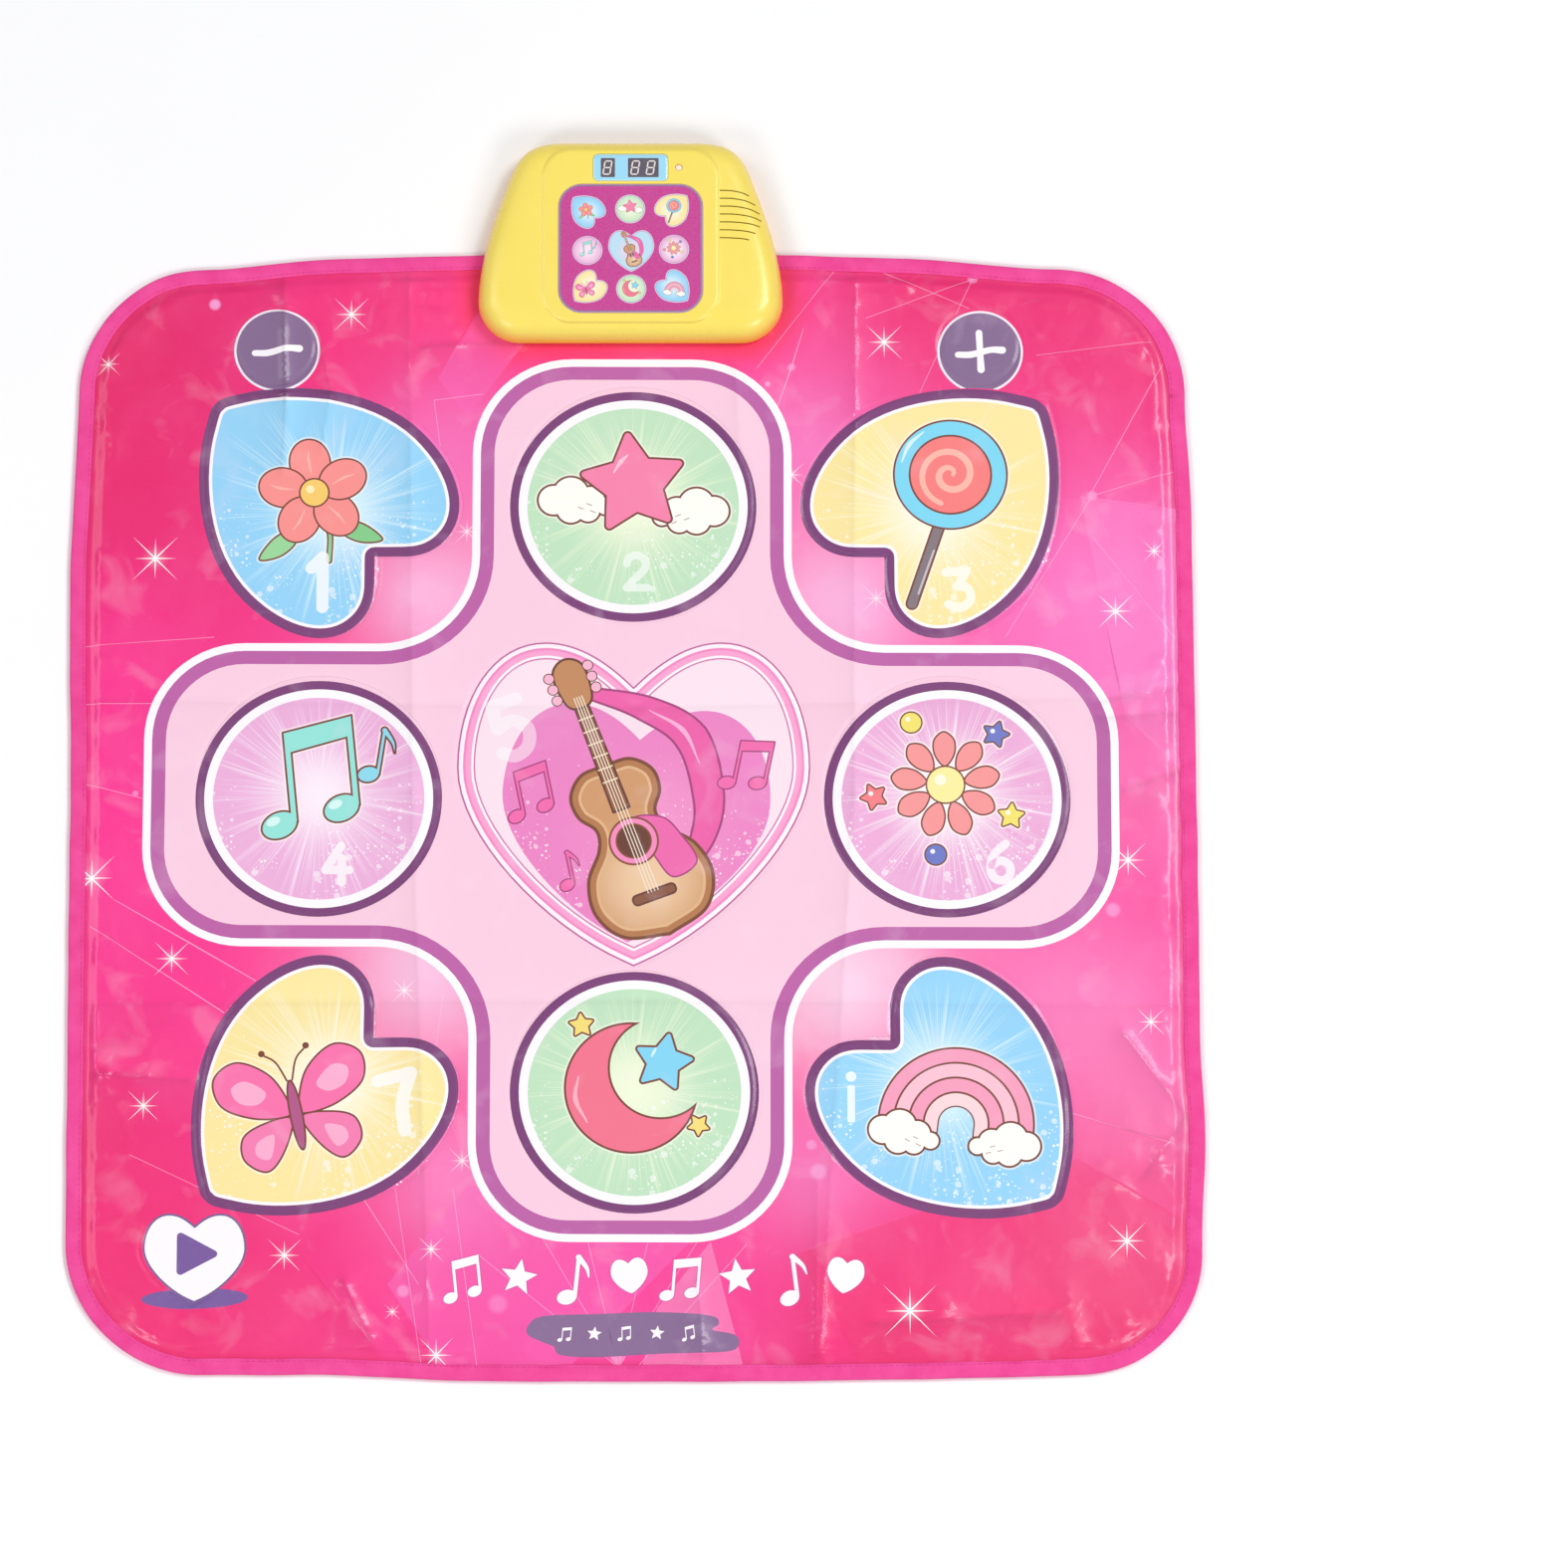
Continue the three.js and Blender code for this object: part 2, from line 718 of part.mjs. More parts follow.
// The lower film carries one printed net: a contact under each zone, traces and the tail
function lowerCircuitFilm() {
  const film = withoutBox(prism(matOutline(innerMargin), lowerFilmLow, lowerFilmTop));
  const farRow = fieldMiddleY + heartNotchY + heartHalfWidth / 2;
  const nearRow = fieldMiddleY - heartNotchY - heartHalfWidth / 2;
  const traces = [
    trace(boxMiddleX, fieldMiddleY - circlePitchY, tailY),
    block(0, fieldMiddleY, circlePitchX * 2, traceWidth, inkLow, inkTop),
    trace(-circlePitchX, nearRow, farRow),
    trace(circlePitchX, nearRow, farRow),
    trace(minusPlace.x, farRow, minusPlace.y),
    trace(plusPlace.x, farRow, plusPlace.y),
    trace(startTop.x + startHalfWidth / 2, nearRow, startTop.y - startHeight / 2),
  ];
  const tailLength = tailY - boxFront;
  const tail = block(
    boxMiddleX, boxFront + tailLength / 2, tailWidth, tailLength, lowerFilmLow, lowerFilmTop,
  );
  const stiffener = block(
    boxMiddleX, tailY - stiffenerLength / 2, tailWidth, stiffenerLength,
    lowerFilmLow, lowerFilmLow + stiffenerThick,
  );
  return joined([film, ...zones.map((zone) => inkContact(zone.outline)), ...traces, tail, stiffener]);
}

// Control box shells

function crownRings(inset, drop) {
  const rise = crownTop - rimLow;
  return crownShares.map(([inShare, upShare]) => ({
    points: boxOutline(inset + inShare * edgeRound),
    z: rimLow + upShare * (rise - drop),
  }));
}

const posts = [-1, 1].flatMap((side) => [
  [boxMiddleX + side * (boxFrontHalf - postSideInset), boxFront + frontPostInset],
  [boxMiddleX + side * (boxRearHalf - postSideInset), boxRear - rearPostInset],
]);

const postHoleTop = screwRecess + screwHeadHeight + screwLength + sheetGap * 2;

function topPosts(within) {
  const stands = joined(posts.map(([x, y]) => rod(x, y, postDiameter, bossRise + sheetGap, crownTop)));
  return stands.intersect(within);
}

function topPostHoles() {
  const hole = screwShank + zoneClearance * 2;
  return joined(posts.map(([x, y]) => rod(x, y, hole, bossRise - overrun, postHoleTop)));
}

const boardPosts = [-1, 1].flatMap((sideX) => [-1, 1].map((sideY) => [
  boxMiddleX + sideX * (displayBoardWidth - boardPostDiameter) / 2,
  lensMiddleY + sideY * (displayBoardLength - boardPostDiameter) / 2,
]));

// The panel's skirt follows the crown down, and what would fill the inside is cut away
function raisedPanel() {
  const flare = (inset) => roundedOutline(
    boxMiddleX, raisedFront + raisedLength / 2,
    raisedWidth - inset * 2, raisedLength - inset * 2, raisedCorner - inset, raisedSteps,
  );
  const panel = loft([
    { points: flare(0), z: crownTop - raisedSkirt },
    { points: flare(0), z: crownTop },
    { points: flare(raisedSlope / 3), z: crownTop + raisedHeight * 2 / 3 },
    { points: flare(raisedSlope), z: boxHeight },
  ]);
  return panel.subtract(hollowCrown());
}

// Seven slots that start on one line and reach further at the middle of the row
function speakerSlots() {
  const slots = Array.from({ length: slotCount }, (_, i) => {
    const middleShare = Math.sin((i + 0.5) / slotCount * Math.PI);
    const length = slotShortest + slotBulge * middleShare;
    const y = speakerY + ((slotCount - 1) / 2 - i) * slotPitch;
    const x = speakerX - slotLead + length / 2;
    const outline = roundedOutline(x, y, length, slotWidth, slotWidth / 2, slotEndSteps);
    return prism(outline, speakerTop, boxHeight);
  });
  return joined(slots);
}

function speakerCollar(within) {
  const outer = speakerDiameter + collarThick * 2 + zoneClearance * 2;
  const inner = speakerDiameter + zoneClearance * 2;
  const low = speakerTop - speakerRimThick - sheetGap;
  const mouth = inner - collarThick * 2;
  const collar = rod(speakerX, speakerY, outer, low, crownTop, speakerSteps);
  const bore = rod(speakerX, speakerY, inner, low - overrun, speakerTop, speakerSteps);
  const throat = rod(speakerX, speakerY, mouth, speakerTop - overrun, crownTop, speakerSteps);
  const shell = within.subtract(hollowCrown());
  return collar.subtract(bore).subtract(throat.subtract(shell)).intersect(within);
}

function outerCrown() {
  return loft(crownRings(0, 0));
}

function hollowCrown() {
  const rings = crownRings(wall, wall);
  return loft([{ points: rings[0].points, z: rimLow - overrun }, ...rings]);
}

// The switch sits in a pocket of the rear wall, so that its knob stays inside the outline
const pocketHeight = knobHeight * 3;
const pocketWidth = knobWidth + switchTravel + pocketHeight;
const knobGateWidth = knobWidth + switchTravel + zoneClearance * 2;
const knobGateHeight = knobHeight + zoneClearance * 2;

function switchPocket(within) {
  const thick = pocketDepth + wall;
  const backingHalf = pocketHeight / 2 + wall;
  const backing = block(
    switchX, boxRear - thick / 2, pocketWidth + wall * 2, thick,
    switchZ - backingHalf, switchZ + backingHalf,
  );
  const recess = block(
    switchX, boxRear + (overrun - pocketDepth) / 2, pocketWidth, pocketDepth + overrun,
    switchZ - pocketHeight / 2, switchZ + pocketHeight / 2,
  );
  const gate = block(
    switchX, boxRear - thick, knobGateWidth, thick * 2,
    switchZ - knobGateHeight / 2, switchZ + knobGateHeight / 2,
  );
  const cheekOffset = switchBodyWidth / 2 + sheetGap + ringThick / 2;
  const cheeks = [-1, 1].map((side) => block(
    switchX + side * cheekOffset, boxRear - thick - switchBodyLength / 2,
    ringThick, switchBodyLength + overrun,
    switchZ - switchBodyHeight / 2, switchZ + switchBodyHeight / 2,
  ));
  return { add: joined([backing, ...cheeks]).intersect(within), cut: joined([recess, gate]) };
}

// A plate's outline on the box's middle line, larger or smaller by a distance on every side
function lensOutline(distance) {
  return roundedOutline(
    boxMiddleX, lensMiddleY,
    lensWidth + distance * 2, lensLength + distance * 2, lensCorner + distance, lensSteps,
  );
}

function labelOutline(distance) {
  return roundedOutline(
    boxMiddleX, labelMiddleY,
    labelWidth + distance * 2, labelLength + distance * 2, labelCorner + distance, labelSteps,
  );
}

function displayWindow() {
  const above = boxHeight + overrun;
  const seat = prism(lensOutline(sheetGap), boxHeight - lensThick - sheetGap, above);
  const opening = prism(lensOutline(-lensLedge), displayBoardTop, above);
  return seat.add(opening);
}

function housingTop() {
  const whole = outerCrown();
  const pocket = switchPocket(whole);
  const standLow = displayBoardTop + sheetGap;
  const stands = boardPosts.map(([x, y]) => rod(x, y, boardPostDiameter, standLow, crownTop));
  const lightHole = lightDiameter + sheetGap * 2;
  const body = joined([
    whole.subtract(hollowCrown()),
    raisedPanel(),
    topPosts(whole),
    speakerCollar(whole),
    joined(stands).intersect(whole),
    pocket.add,
  ]);
  const cuts = joined([
    displayWindow(),
    prism(labelOutline(sheetGap), boxHeight - labelRecess, boxHeight + overrun),
    speakerSlots(),
    topPostHoles(),
    pocket.cut,
    rod(lightX, lensMiddleY, lightHole, displayBoardTop, boxHeight + overrun),
  ]);
  return body.subtract(cuts);
}

// The bottom shell: a floor, a flange under the mat's upper sheets and a wall
function shellPrism(inset, low, high) {
  const front = prism(boxOutline(clampWidth + inset), low, high);
  const rearY = matFarEdge + sheetGap * 2 + inset;
  const rearHalf = block(boxMiddleX, rearY + boxLength / 2, boxFrontHalf * 3, boxLength, low, high);
  const rear = prism(boxOutline(shellInset + inset), low, high).intersect(rearHalf);
  return front.add(rear);
}

function housingBottom() {
  const flange = prism(boxOutline(shellInset), 0, baseTop);
  const floor = shellPrism(0, 0, floorThick);
  const inside = shellPrism(ringThick, floorThick, bottomWallTop + overrun);
  const ring = shellPrism(0, 0, bottomWallTop).subtract(inside);
  const bosses = posts.map(([x, y]) => rod(x, y, postDiameter + wall, 0, bossRise));
  const bay = block(
    bayX, bayY, bayWidth + bayWall * 2, bayLength + bayWall * 2, 0, bayTop + bayWall,
  );
  const lug = rod(bayX, doorScrewY, doorScrewLug, 0, doorScrewBoreTop);
  const lugRoot = block(
    bayX, (bayHigh + doorScrewY) / 2, doorScrewLug, doorScrewY - bayHigh, 0, doorScrewBoreTop,
  );
  const body = joined([flange, floor, ring, ...bosses, bay, lug, lugRoot]);
  return body.subtract(joined([bottomCuts(), doorOpening()]));
}

function screwWell(x, y, length) {
  const headTop = screwRecess + screwHeadHeight + sheetGap;
  const head = rod(x, y, screwHead + zoneClearance * 2, -overrun, headTop);
  const shank = rod(x, y, screwShank + zoneClearance * 2, 0, length);
  return head.add(shank);
}

const clampY = tailY - stiffenerLength / 2;
const clampScrews = [-1, 1].map((side) => [boxMiddleX + side * clampScrewPitch / 2, clampY]);

function bottomCuts() {
  const channelLength = tailY - boxFront;
  const channel = block(
    boxMiddleX, boxFront + channelLength / 2 + sheetGap,
    tailWidth + sheetGap * 4, channelLength + sheetGap * 2, baseTop, bottomWallTop + overrun,
  );
  return joined([
    channel,
    ...posts.map(([x, y]) => screwWell(x, y, bossRise + overrun)),
    ...clampScrews.map(([x, y]) => screwWell(x, y, mainBoardLow)),
  ]);
}

const doorWidth = bayWidth - sheetGap * 2;
const doorLength = bayLength - sheetGap * 2;
const tabTop = floorThick + sheetGap + doorTabThick;

function doorOpening() {
  const bay = block(bayX, bayY, bayWidth, bayLength, -overrun, bayTop);
  const slotLength = doorScrewLug + bayWall;
  const lugSlot = block(
    bayX, bayHigh + slotLength / 2, doorScrewLug + sheetGap * 2, slotLength + sheetGap * 2,
    -overrun, floorThick + sheetGap,
  );
  const boreDiameter = screwShank + doorScrewClearance * 2;
  const screwBore = rod(bayX, doorScrewY, boreDiameter, 0, doorScrewBoreTop + overrun);
  const tabRoom = doorTabReach + sheetGap * 3;
  const notches = [-1, 1].map((side) => block(
    bayX + side * doorTabSpread / 2, bayLow - tabRoom / 2, doorTabWidth + sheetGap * 2, tabRoom + sheetGap,
    floorThick, tabTop + tabRoom,
  ));
  return joined([bay, lugSlot, screwBore, ...notches]);
}

function batteryDoor() {
  const plate = block(bayX, bayY, doorWidth, doorLength, 0, floorThick);
  const lugLength = doorScrewLug + bayWall + sheetGap;
  const lug = block(bayX, bayHigh + lugLength / 2 - sheetGap * 2, doorScrewLug, lugLength, 0, floorThick);
  const tabs = [-1, 1].flatMap((side) => {
    const x = bayX + side * doorTabSpread / 2;
    const root = bayLow + sheetGap;
    return [
      block(x, root + doorTabReach / 2, doorTabWidth, doorTabReach, 0, tabTop),
      block(x, root, doorTabWidth, doorTabReach * 2, floorThick + sheetGap, tabTop),
    ];
  });
  const ribs = Array.from({ length: doorRibCount }, (_, i) => block(
    bayX, bayHigh - doorRibPitch * (i + 1), doorTabSpread, doorRibPitch / 2, -overrun, doorRibDepth,
  ));
  const headTop = doorScrewRecess + doorScrewHeadHeight + sheetGap;
  const headWell = rod(bayX, doorScrewY, screwHead + zoneClearance * 2, -overrun, headTop);
  const bore = rod(bayX, doorScrewY, screwShank + zoneClearance * 2, -overrun, floorThick + overrun);
  return joined([plate, lug, ...tabs]).subtract(joined([...ribs, headWell, bore]));
}

// Small pieces

function screw(x, y, low, headHeight, length) {
  const headTop = low + headHeight;
  const head = rod(x, y, screwHead, low, headTop);
  const shank = rod(x, y, screwShank, headTop - headHeight / 2, headTop + length);
  const driveLength = screwHead * 2 / 3;
  const driveTop = low + headHeight * driveDepthShare;
  const cross = [
    block(x, y, driveWidth, driveLength, low - overrun, driveTop),
    block(x, y, driveLength, driveWidth, low - overrun, driveTop),
  ];
  return head.add(shank).subtract(joined(cross));
}

// A seven-bar digit module: a dark block with its bars left standing between grooves
function digitModule(x, width, count) {
  const cell = width / count;
  const body = block(x, digitMiddleY, width, digitLength, digitLow, digitTop - digitGroove);
  const figureWidth = cell * figureWidthShare;
  const figureLength = digitLength * figureLengthShare;
  const bar = (barX, barY, barWidth, barLength) => (
    block(barX, barY, barWidth, barLength, digitTop - digitGroove * 2, digitTop)
  );
  const bars = [];
  for (let i = 0; i < count; i += 1) {
    const middleX = x + (i - (count - 1) / 2) * cell;
    for (const side of [-1, 0, 1]) {
      const y = digitMiddleY + side * (figureLength - digitBarWidth) / 2;
      bars.push(bar(middleX, y, figureWidth, digitBarWidth));
    }
    for (const side of [-1, 1]) {
      const barX = middleX + side * (figureWidth - digitBarWidth) / 2;
      bars.push(bar(barX, digitMiddleY, digitBarWidth, figureLength));
    }
  }
  return joined([body, ...bars]);
}

function statusLight() {
  const radius = lightDiameter / 2;
  const top = boxHeight - sheetGap;
  const dome = domeShares.map(([out, drop]) => [radius * out, top - radius * drop]);
  const profile = [[0, digitLow], [radius, digitLow], ...dome, [0, top]];
  return turned(lightX, lensMiddleY, profile, screwSteps);
}

// Frame, basket and magnet of the loudspeaker, dished to take its cone
function speakerFrame() {
  const top = speakerTop - sheetGap;
  const rim = speakerDiameter / 2;
  const low = top - speakerDepth;
  const seat = rim - collarThick;
  const throat = dustCapDiameter / 2 + coneThick;
  const profile = [
    [0, low], [magnetDiameter / 2, low],
    [magnetDiameter / 2, low + speakerDepth * magnetHeightShare],
    [basketDiameter / 2, low + speakerDepth * basketFootShare],
    [rim - collarThick / 2, top - speakerRimThick],
    [rim, top - speakerRimThick], [rim, top], [seat, top],
    [throat, top - coneDrop - sheetGap], [0, top - coneDrop - sheetGap],
  ];
  return turned(speakerX, speakerY, profile, speakerSteps);
}

function speakerCone() {
  const top = speakerTop - sheetGap;
  const rim = speakerDiameter / 2 - collarThick - sheetGap;
  const cap = dustCapDiameter / 2;
  const profile = [
    [0, top - coneDrop], [cap, top - coneDrop], [rim, top + sheetGap], [rim, top + sheetGap + coneThick],
    [cap, top - coneDrop + coneThick * 2], [cap * dustCapShare, top - coneDrop + coneThick * 3],
    [0, top - coneDrop + coneThick * 4],
  ];
  return turned(speakerX, speakerY, profile, speakerSteps);
}

function displayBoard() {
  const board = block(
    boxMiddleX, lensMiddleY, displayBoardWidth, displayBoardLength, displayBoardLow, displayBoardTop,
  );
  const socket = block(
    leadX, leadDisplayY, socketWidth, socketLength,
    displayBoardLow - socketHeight, displayBoardTop - boardThick / 2,
  );
  return board.add(socket);
}

function mainBoard() {
  const board = block(
    boxMiddleX, mainBoardY, mainBoardWidth, mainBoardLength, mainBoardLow, mainBoardTop,
  );
  const inner = mainBoardTop - boardThick / 2;
  const chipX = boxMiddleX - mainBoardWidth / 4;
  const chip = rod(chipX, mainBoardY, chipSize, inner, mainBoardTop + chipHeight, keySteps);
  const capX = boxMiddleX + mainBoardWidth / 3;
  const cap = rod(capX, mainBoardY, capDiameter, inner, mainBoardTop + capHeight);
  const socket = block(
    leadX, leadMainY, socketWidth, socketLength, inner, mainBoardTop + socketHeight,
  );
  return joined([board, chip, cap, socket]).subtract(clampHoles(boxHeight));
}

function clampHoles(top) {
  return joined(clampScrews.map(([x, y]) => rod(x, y, screwShank + zoneClearance * 2, 0, top)));
}

// The flat lead stands on the main board's socket, leans back and ends at the display board's
function ribbonLead() {
  const low = mainBoardTop + socketHeight + sheetGap;
  const high = displayBoardLow - socketHeight - sheetGap;
  const straight = (high - low) * leadEndShare;
  const points = [
    [leadMainY, low], [leadMainY, low + straight],
    [leadDisplayY, high - straight], [leadDisplayY, high],
  ];
  const side = points.map(([y, z]) => new THREE.Vector2(y - leadThick / 2, z));
  const other = points.map(([y, z]) => new THREE.Vector2(y + leadThick / 2, z)).reverse();
  const geometry = new THREE.ExtrudeGeometry(new THREE.Shape([...other, ...side]), {
    depth: leadWidth,
    bevelEnabled: false,
  });
  geometry.rotateX(Math.PI / 2);
  geometry.rotateZ(Math.PI / 2);
  geometry.translate(leadX - leadWidth / 2, 0, 0);
  return solid(geometry);
}

function clampBar() {
  const low = mainBoardTop + sheetGap;
  const bar = block(boxMiddleX, clampY, clampBarWidth, clampBarLength, low, clampBarTop);
  const relief = block(
    boxMiddleX, clampY, tailWidth, clampBarLength / 3, low + clampBarHeight / 2, clampBarTop + overrun,
  );
  return bar.subtract(relief).subtract(clampHoles(clampHoleTop));
}

function batteryCell(index) {
  const way = index % 2 === 0 ? 1 : -1;
  const r = cellDiameter / 2;
  const shoulder = r * cellShoulderShare;
  const nub = cellNubDiameter / 2;
  const profile = [
    [0, 0], [shoulder, 0], [r, r - shoulder], [r, cellLength - (r - shoulder)], [shoulder, cellLength],
    [nub, cellLength], [nub, cellLength + cellNub], [0, cellLength + cellNub],
  ];
  const geometry = new THREE.LatheGeometry(profile.map(([x, y]) => new THREE.Vector2(x, y)), cellSteps);
  geometry.translate(0, -(cellLength + cellNub) / 2, 0);
  geometry.rotateZ(-way * Math.PI / 2);
  geometry.translate(bayX, bayY + (index - (cellCount - 1) / 2) * cellPitch, cellAxis);
  return solid(geometry);
}

// A contact strip across the bay's end, with a pressed dome against each cell
function contactStrip(side) {
  const wallX = bayX + side * (bayWidth / 2 - sheetGap - contactThick / 2);
  const strip = block(
    wallX, bayY, contactThick, bayLength - sheetGap * 4, floorThick + sheetGap, bayTop - sheetGap,
  );
  const reach = bayEnd - sheetGap * 2 - contactThick;
  const domes = Array.from({ length: cellCount }, (_, index) => {
    const tip = cellNubDiameter / 4;
    const geometry = new THREE.CylinderGeometry(tip, cellNubDiameter / 2, reach, domeSteps);
    geometry.rotateZ(side * Math.PI / 2);
    const x = wallX - side * (contactThick / 2 + reach / 2 - contactThick / 4);
    geometry.translate(x, bayY + (index - (cellCount - 1) / 2) * cellPitch, cellAxis);
    return solid(geometry);
  });
  return joined([strip, ...domes]);
}

function switchBody() {
  const body = block(
    switchX, switchFace - switchBodyLength / 2, switchBodyWidth, switchBodyLength,
    switchZ - switchBodyHeight / 2, switchZ + switchBodyHeight / 2,
  );
  const room = block(
    switchX, switchFace, knobGateWidth, switchBodyLength,
    switchZ - knobGateHeight / 2, switchZ + knobGateHeight / 2,
  );
  return body.subtract(room);
}

function switchKnob() {
  const x = switchX - switchTravel / 2;
  const tip = boxRear - sheetGap * 2;
  const stem = block(
    x, tip - knobReach / 2, knobWidth, knobReach, switchZ - knobHeight / 2, switchZ + knobHeight / 2,
  );
  const grooves = [-1, 0, 1].map((step) => block(
    x + step * knobWidth / 4, tip, knobGrooveWidth, knobGroove,
    switchZ - knobHeight, switchZ + knobHeight,
  ));
  return stem.subtract(joined(grooves));
}

// The assembly

const mat = new THREE.Group();
mat.position.y = -boxOverhang / 2;

function place(name, manifold, color, roughness, metalness = 0) {
  const material = new THREE.MeshStandardMaterial({ color, roughness, metalness });
  const mesh = new THREE.Mesh(geometryOf(manifold), material);
  mesh.name = name;
  mat.add(mesh);
}

const housingYellow = "#fbe05c";
const carbon = "#3a3a3e";
const steel = "#b9bcc0";

place("bottom_cover", baseCover(), "#d9d2de", 0.9);
place("lower_circuit_film", lowerCircuitFilm(), "#c9d6dc", 0.4);
place("foam_spacer", perforatedSheet(spacerLow, spacerTop), "#f2f0ea", 0.9);
place("upper_circuit_film", perforatedSheet(upperFilmLow, upperFilmTop), "#c9d6dc", 0.4);
place("top_cover", topCover(), "#ee2f86", 0.35);
place("edge_binding", edgeBinding(), "#e23a98", 0.5);

for (const zone of zones) {
  const contact = prism(grown(zone.outline, -contactInset), upperFilmLow, upperFilmTop);
  place(`${zone.name}_face`, prism(zone.outline, coverLow, coverTop), zone.color, 0.35);
  place(`${zone.name}_contact`, contact, carbon, 0.6);
}

place("housing_bottom", housingBottom(), housingYellow, 0.35);
place("housing_top", housingTop(), housingYellow, 0.3);

const labelLow = boxHeight - labelRecess + sheetGap;

place("display_lens", prism(lensOutline(0), boxHeight - lensThick, boxHeight), "#9fe0fb", 0.15);
place("control_label", prism(labelOutline(0), labelLow, labelLow + labelThick), "#d2529f", 0.35);
place("digit_single", digitModule(boxMiddleX + digitOffset, digitWidth, 1), "#4b4650", 0.4);
place("digit_double", digitModule(boxMiddleX + doubleDigitOffset, doubleDigitWidth, 2), "#4b4650", 0.4);
place("status_light", statusLight(), "#f4c9b0", 0.3);

place("display_board", displayBoard(), "#2f7a45", 0.5);
place("main_board", mainBoard(), "#2f7a45", 0.5);
place("ribbon_lead", ribbonLead(), "#d8d8d4", 0.6);
place("tail_clamp_bar", clampBar(), "#e8e6e0", 0.5);
place("speaker_frame", speakerFrame(), "#777a80", 0.4, 0.8);
place("speaker_cone", speakerCone(), "#26262a", 0.8);

for (let index = 0; index < cellCount; index += 1) {
  place(`battery_cell_${index + 1}`, batteryCell(index), "#3b6fb0", 0.35);
}
place("battery_contacts_left", contactStrip(-1), steel, 0.3, 0.9);
place("battery_contacts_right", contactStrip(1), steel, 0.3, 0.9);
place("battery_door", batteryDoor(), housingYellow, 0.35);

const doorScrew = screw(bayX, doorScrewY, doorScrewRecess, doorScrewHeadHeight, doorScrewLength);
place("battery_door_screw", doorScrew, steel, 0.3, 0.9);

place("power_switch_body", switchBody(), "#2b2b2e", 0.5);
place("power_switch_knob", switchKnob(), "#1d1d20", 0.5);

function placeScrews(name, places, length) {
  places.forEach(([x, y], index) => {
    const fastener = screw(x, y, screwRecess, screwHeadHeight, length);
    place(`${name}_${index + 1}`, fastener, steel, 0.3, 0.9);
  });
}

placeScrews("case_screw", posts, screwLength);
placeScrews("clamp_screw", clampScrews, clampScrewLength);

export default mat;
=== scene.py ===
"""An electronic dance mat with its control box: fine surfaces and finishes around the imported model."""
from math import atan2, cos, pi, radians, sin, tau

import bmesh
import bpy
import numpy as np
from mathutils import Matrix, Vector
from mathutils.geometry import delaunay_2d_cdt


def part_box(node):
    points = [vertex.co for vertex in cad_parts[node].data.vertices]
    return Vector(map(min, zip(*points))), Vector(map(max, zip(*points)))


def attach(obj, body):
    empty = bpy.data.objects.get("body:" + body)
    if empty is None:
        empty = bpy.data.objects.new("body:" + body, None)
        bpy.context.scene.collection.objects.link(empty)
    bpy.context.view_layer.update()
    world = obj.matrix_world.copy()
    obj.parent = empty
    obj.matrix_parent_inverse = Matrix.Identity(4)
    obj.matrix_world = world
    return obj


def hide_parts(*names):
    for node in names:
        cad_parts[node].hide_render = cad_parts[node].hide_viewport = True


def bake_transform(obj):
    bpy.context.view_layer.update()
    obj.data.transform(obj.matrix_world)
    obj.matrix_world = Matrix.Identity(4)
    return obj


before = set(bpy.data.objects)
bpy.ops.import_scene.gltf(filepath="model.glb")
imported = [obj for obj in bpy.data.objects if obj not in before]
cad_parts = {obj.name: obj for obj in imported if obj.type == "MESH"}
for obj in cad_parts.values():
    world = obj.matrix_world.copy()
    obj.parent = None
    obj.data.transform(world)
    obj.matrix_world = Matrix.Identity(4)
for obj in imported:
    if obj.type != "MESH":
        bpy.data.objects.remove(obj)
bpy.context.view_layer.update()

mm = 0.001

# Sizes in millimetres from the mat's middle, worked out from the frame

mat_width = 900.0
mat_length = 930.0
mat_corners = (110.0, 106.0, 104.0, 94.0)
corner_sides = [(1, 1), (-1, 1), (-1, -1), (1, -1)]
far_bow = 14.0
near_bow = 9.0
side_bow = 3.0
tape_width = 13.0
mat_middle = np.array([0.0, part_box("edge_binding")[0].y / mm + mat_length / 2, 0.0])


def placed(points):
    """Points in millimetres from the mat's middle, moved into the frame and into metres."""
    return (np.asarray(points, float) + mat_middle) * mm


def span(node):
    """A node's lowest and highest corner, in millimetres from the mat's middle."""
    low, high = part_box(node)
    return np.array(low) / mm - mat_middle, np.array(high) / mm - mat_middle


def middle(node):
    """The middle of a node, seen from above."""
    low, high = span(node)
    return (low + high)[:2] / 2


def size_of(node):
    """A node's width and length."""
    low, high = span(node)
    return (high - low)[:2]


cover_low = span("pad_2_face")[0][2]
cover_top = span("pad_2_face")[1][2]
hem_low, hem_top = 2.3, 4.0
rim_low = span("housing_top")[0][2]
box_top = span("housing_top")[1][2]

# Camera: where it stands follows from how the mat's edges run in the photograph

photo_side = 1575
focal_pixels = 8993.0
camera_elevation = radians(75.5)
camera_distance = 7150.0
middle_pixel = (636.5, 813.4)


print_height = 6.3


def on_mat(pixels, height=print_height):
    """Where the lines of sight through pixels of the photograph meet a height above the floor.

    A pixel's row gives the place along the mat by the slant of the view, and then its column gives
    the place across by the depth there."""
    pixels = np.atleast_2d(np.asarray(pixels, float))
    rise, run = sin(camera_elevation), cos(camera_elevation)
    slant = (middle_pixel[1] - pixels[:, 1]) / focal_pixels
    y = (slant * (camera_distance - height * rise) - height * run) / (rise - slant * run)
    depth = camera_distance + y * run - height * rise
    return np.c_[(pixels[:, 0] - middle_pixel[0]) * depth / focal_pixels, y]


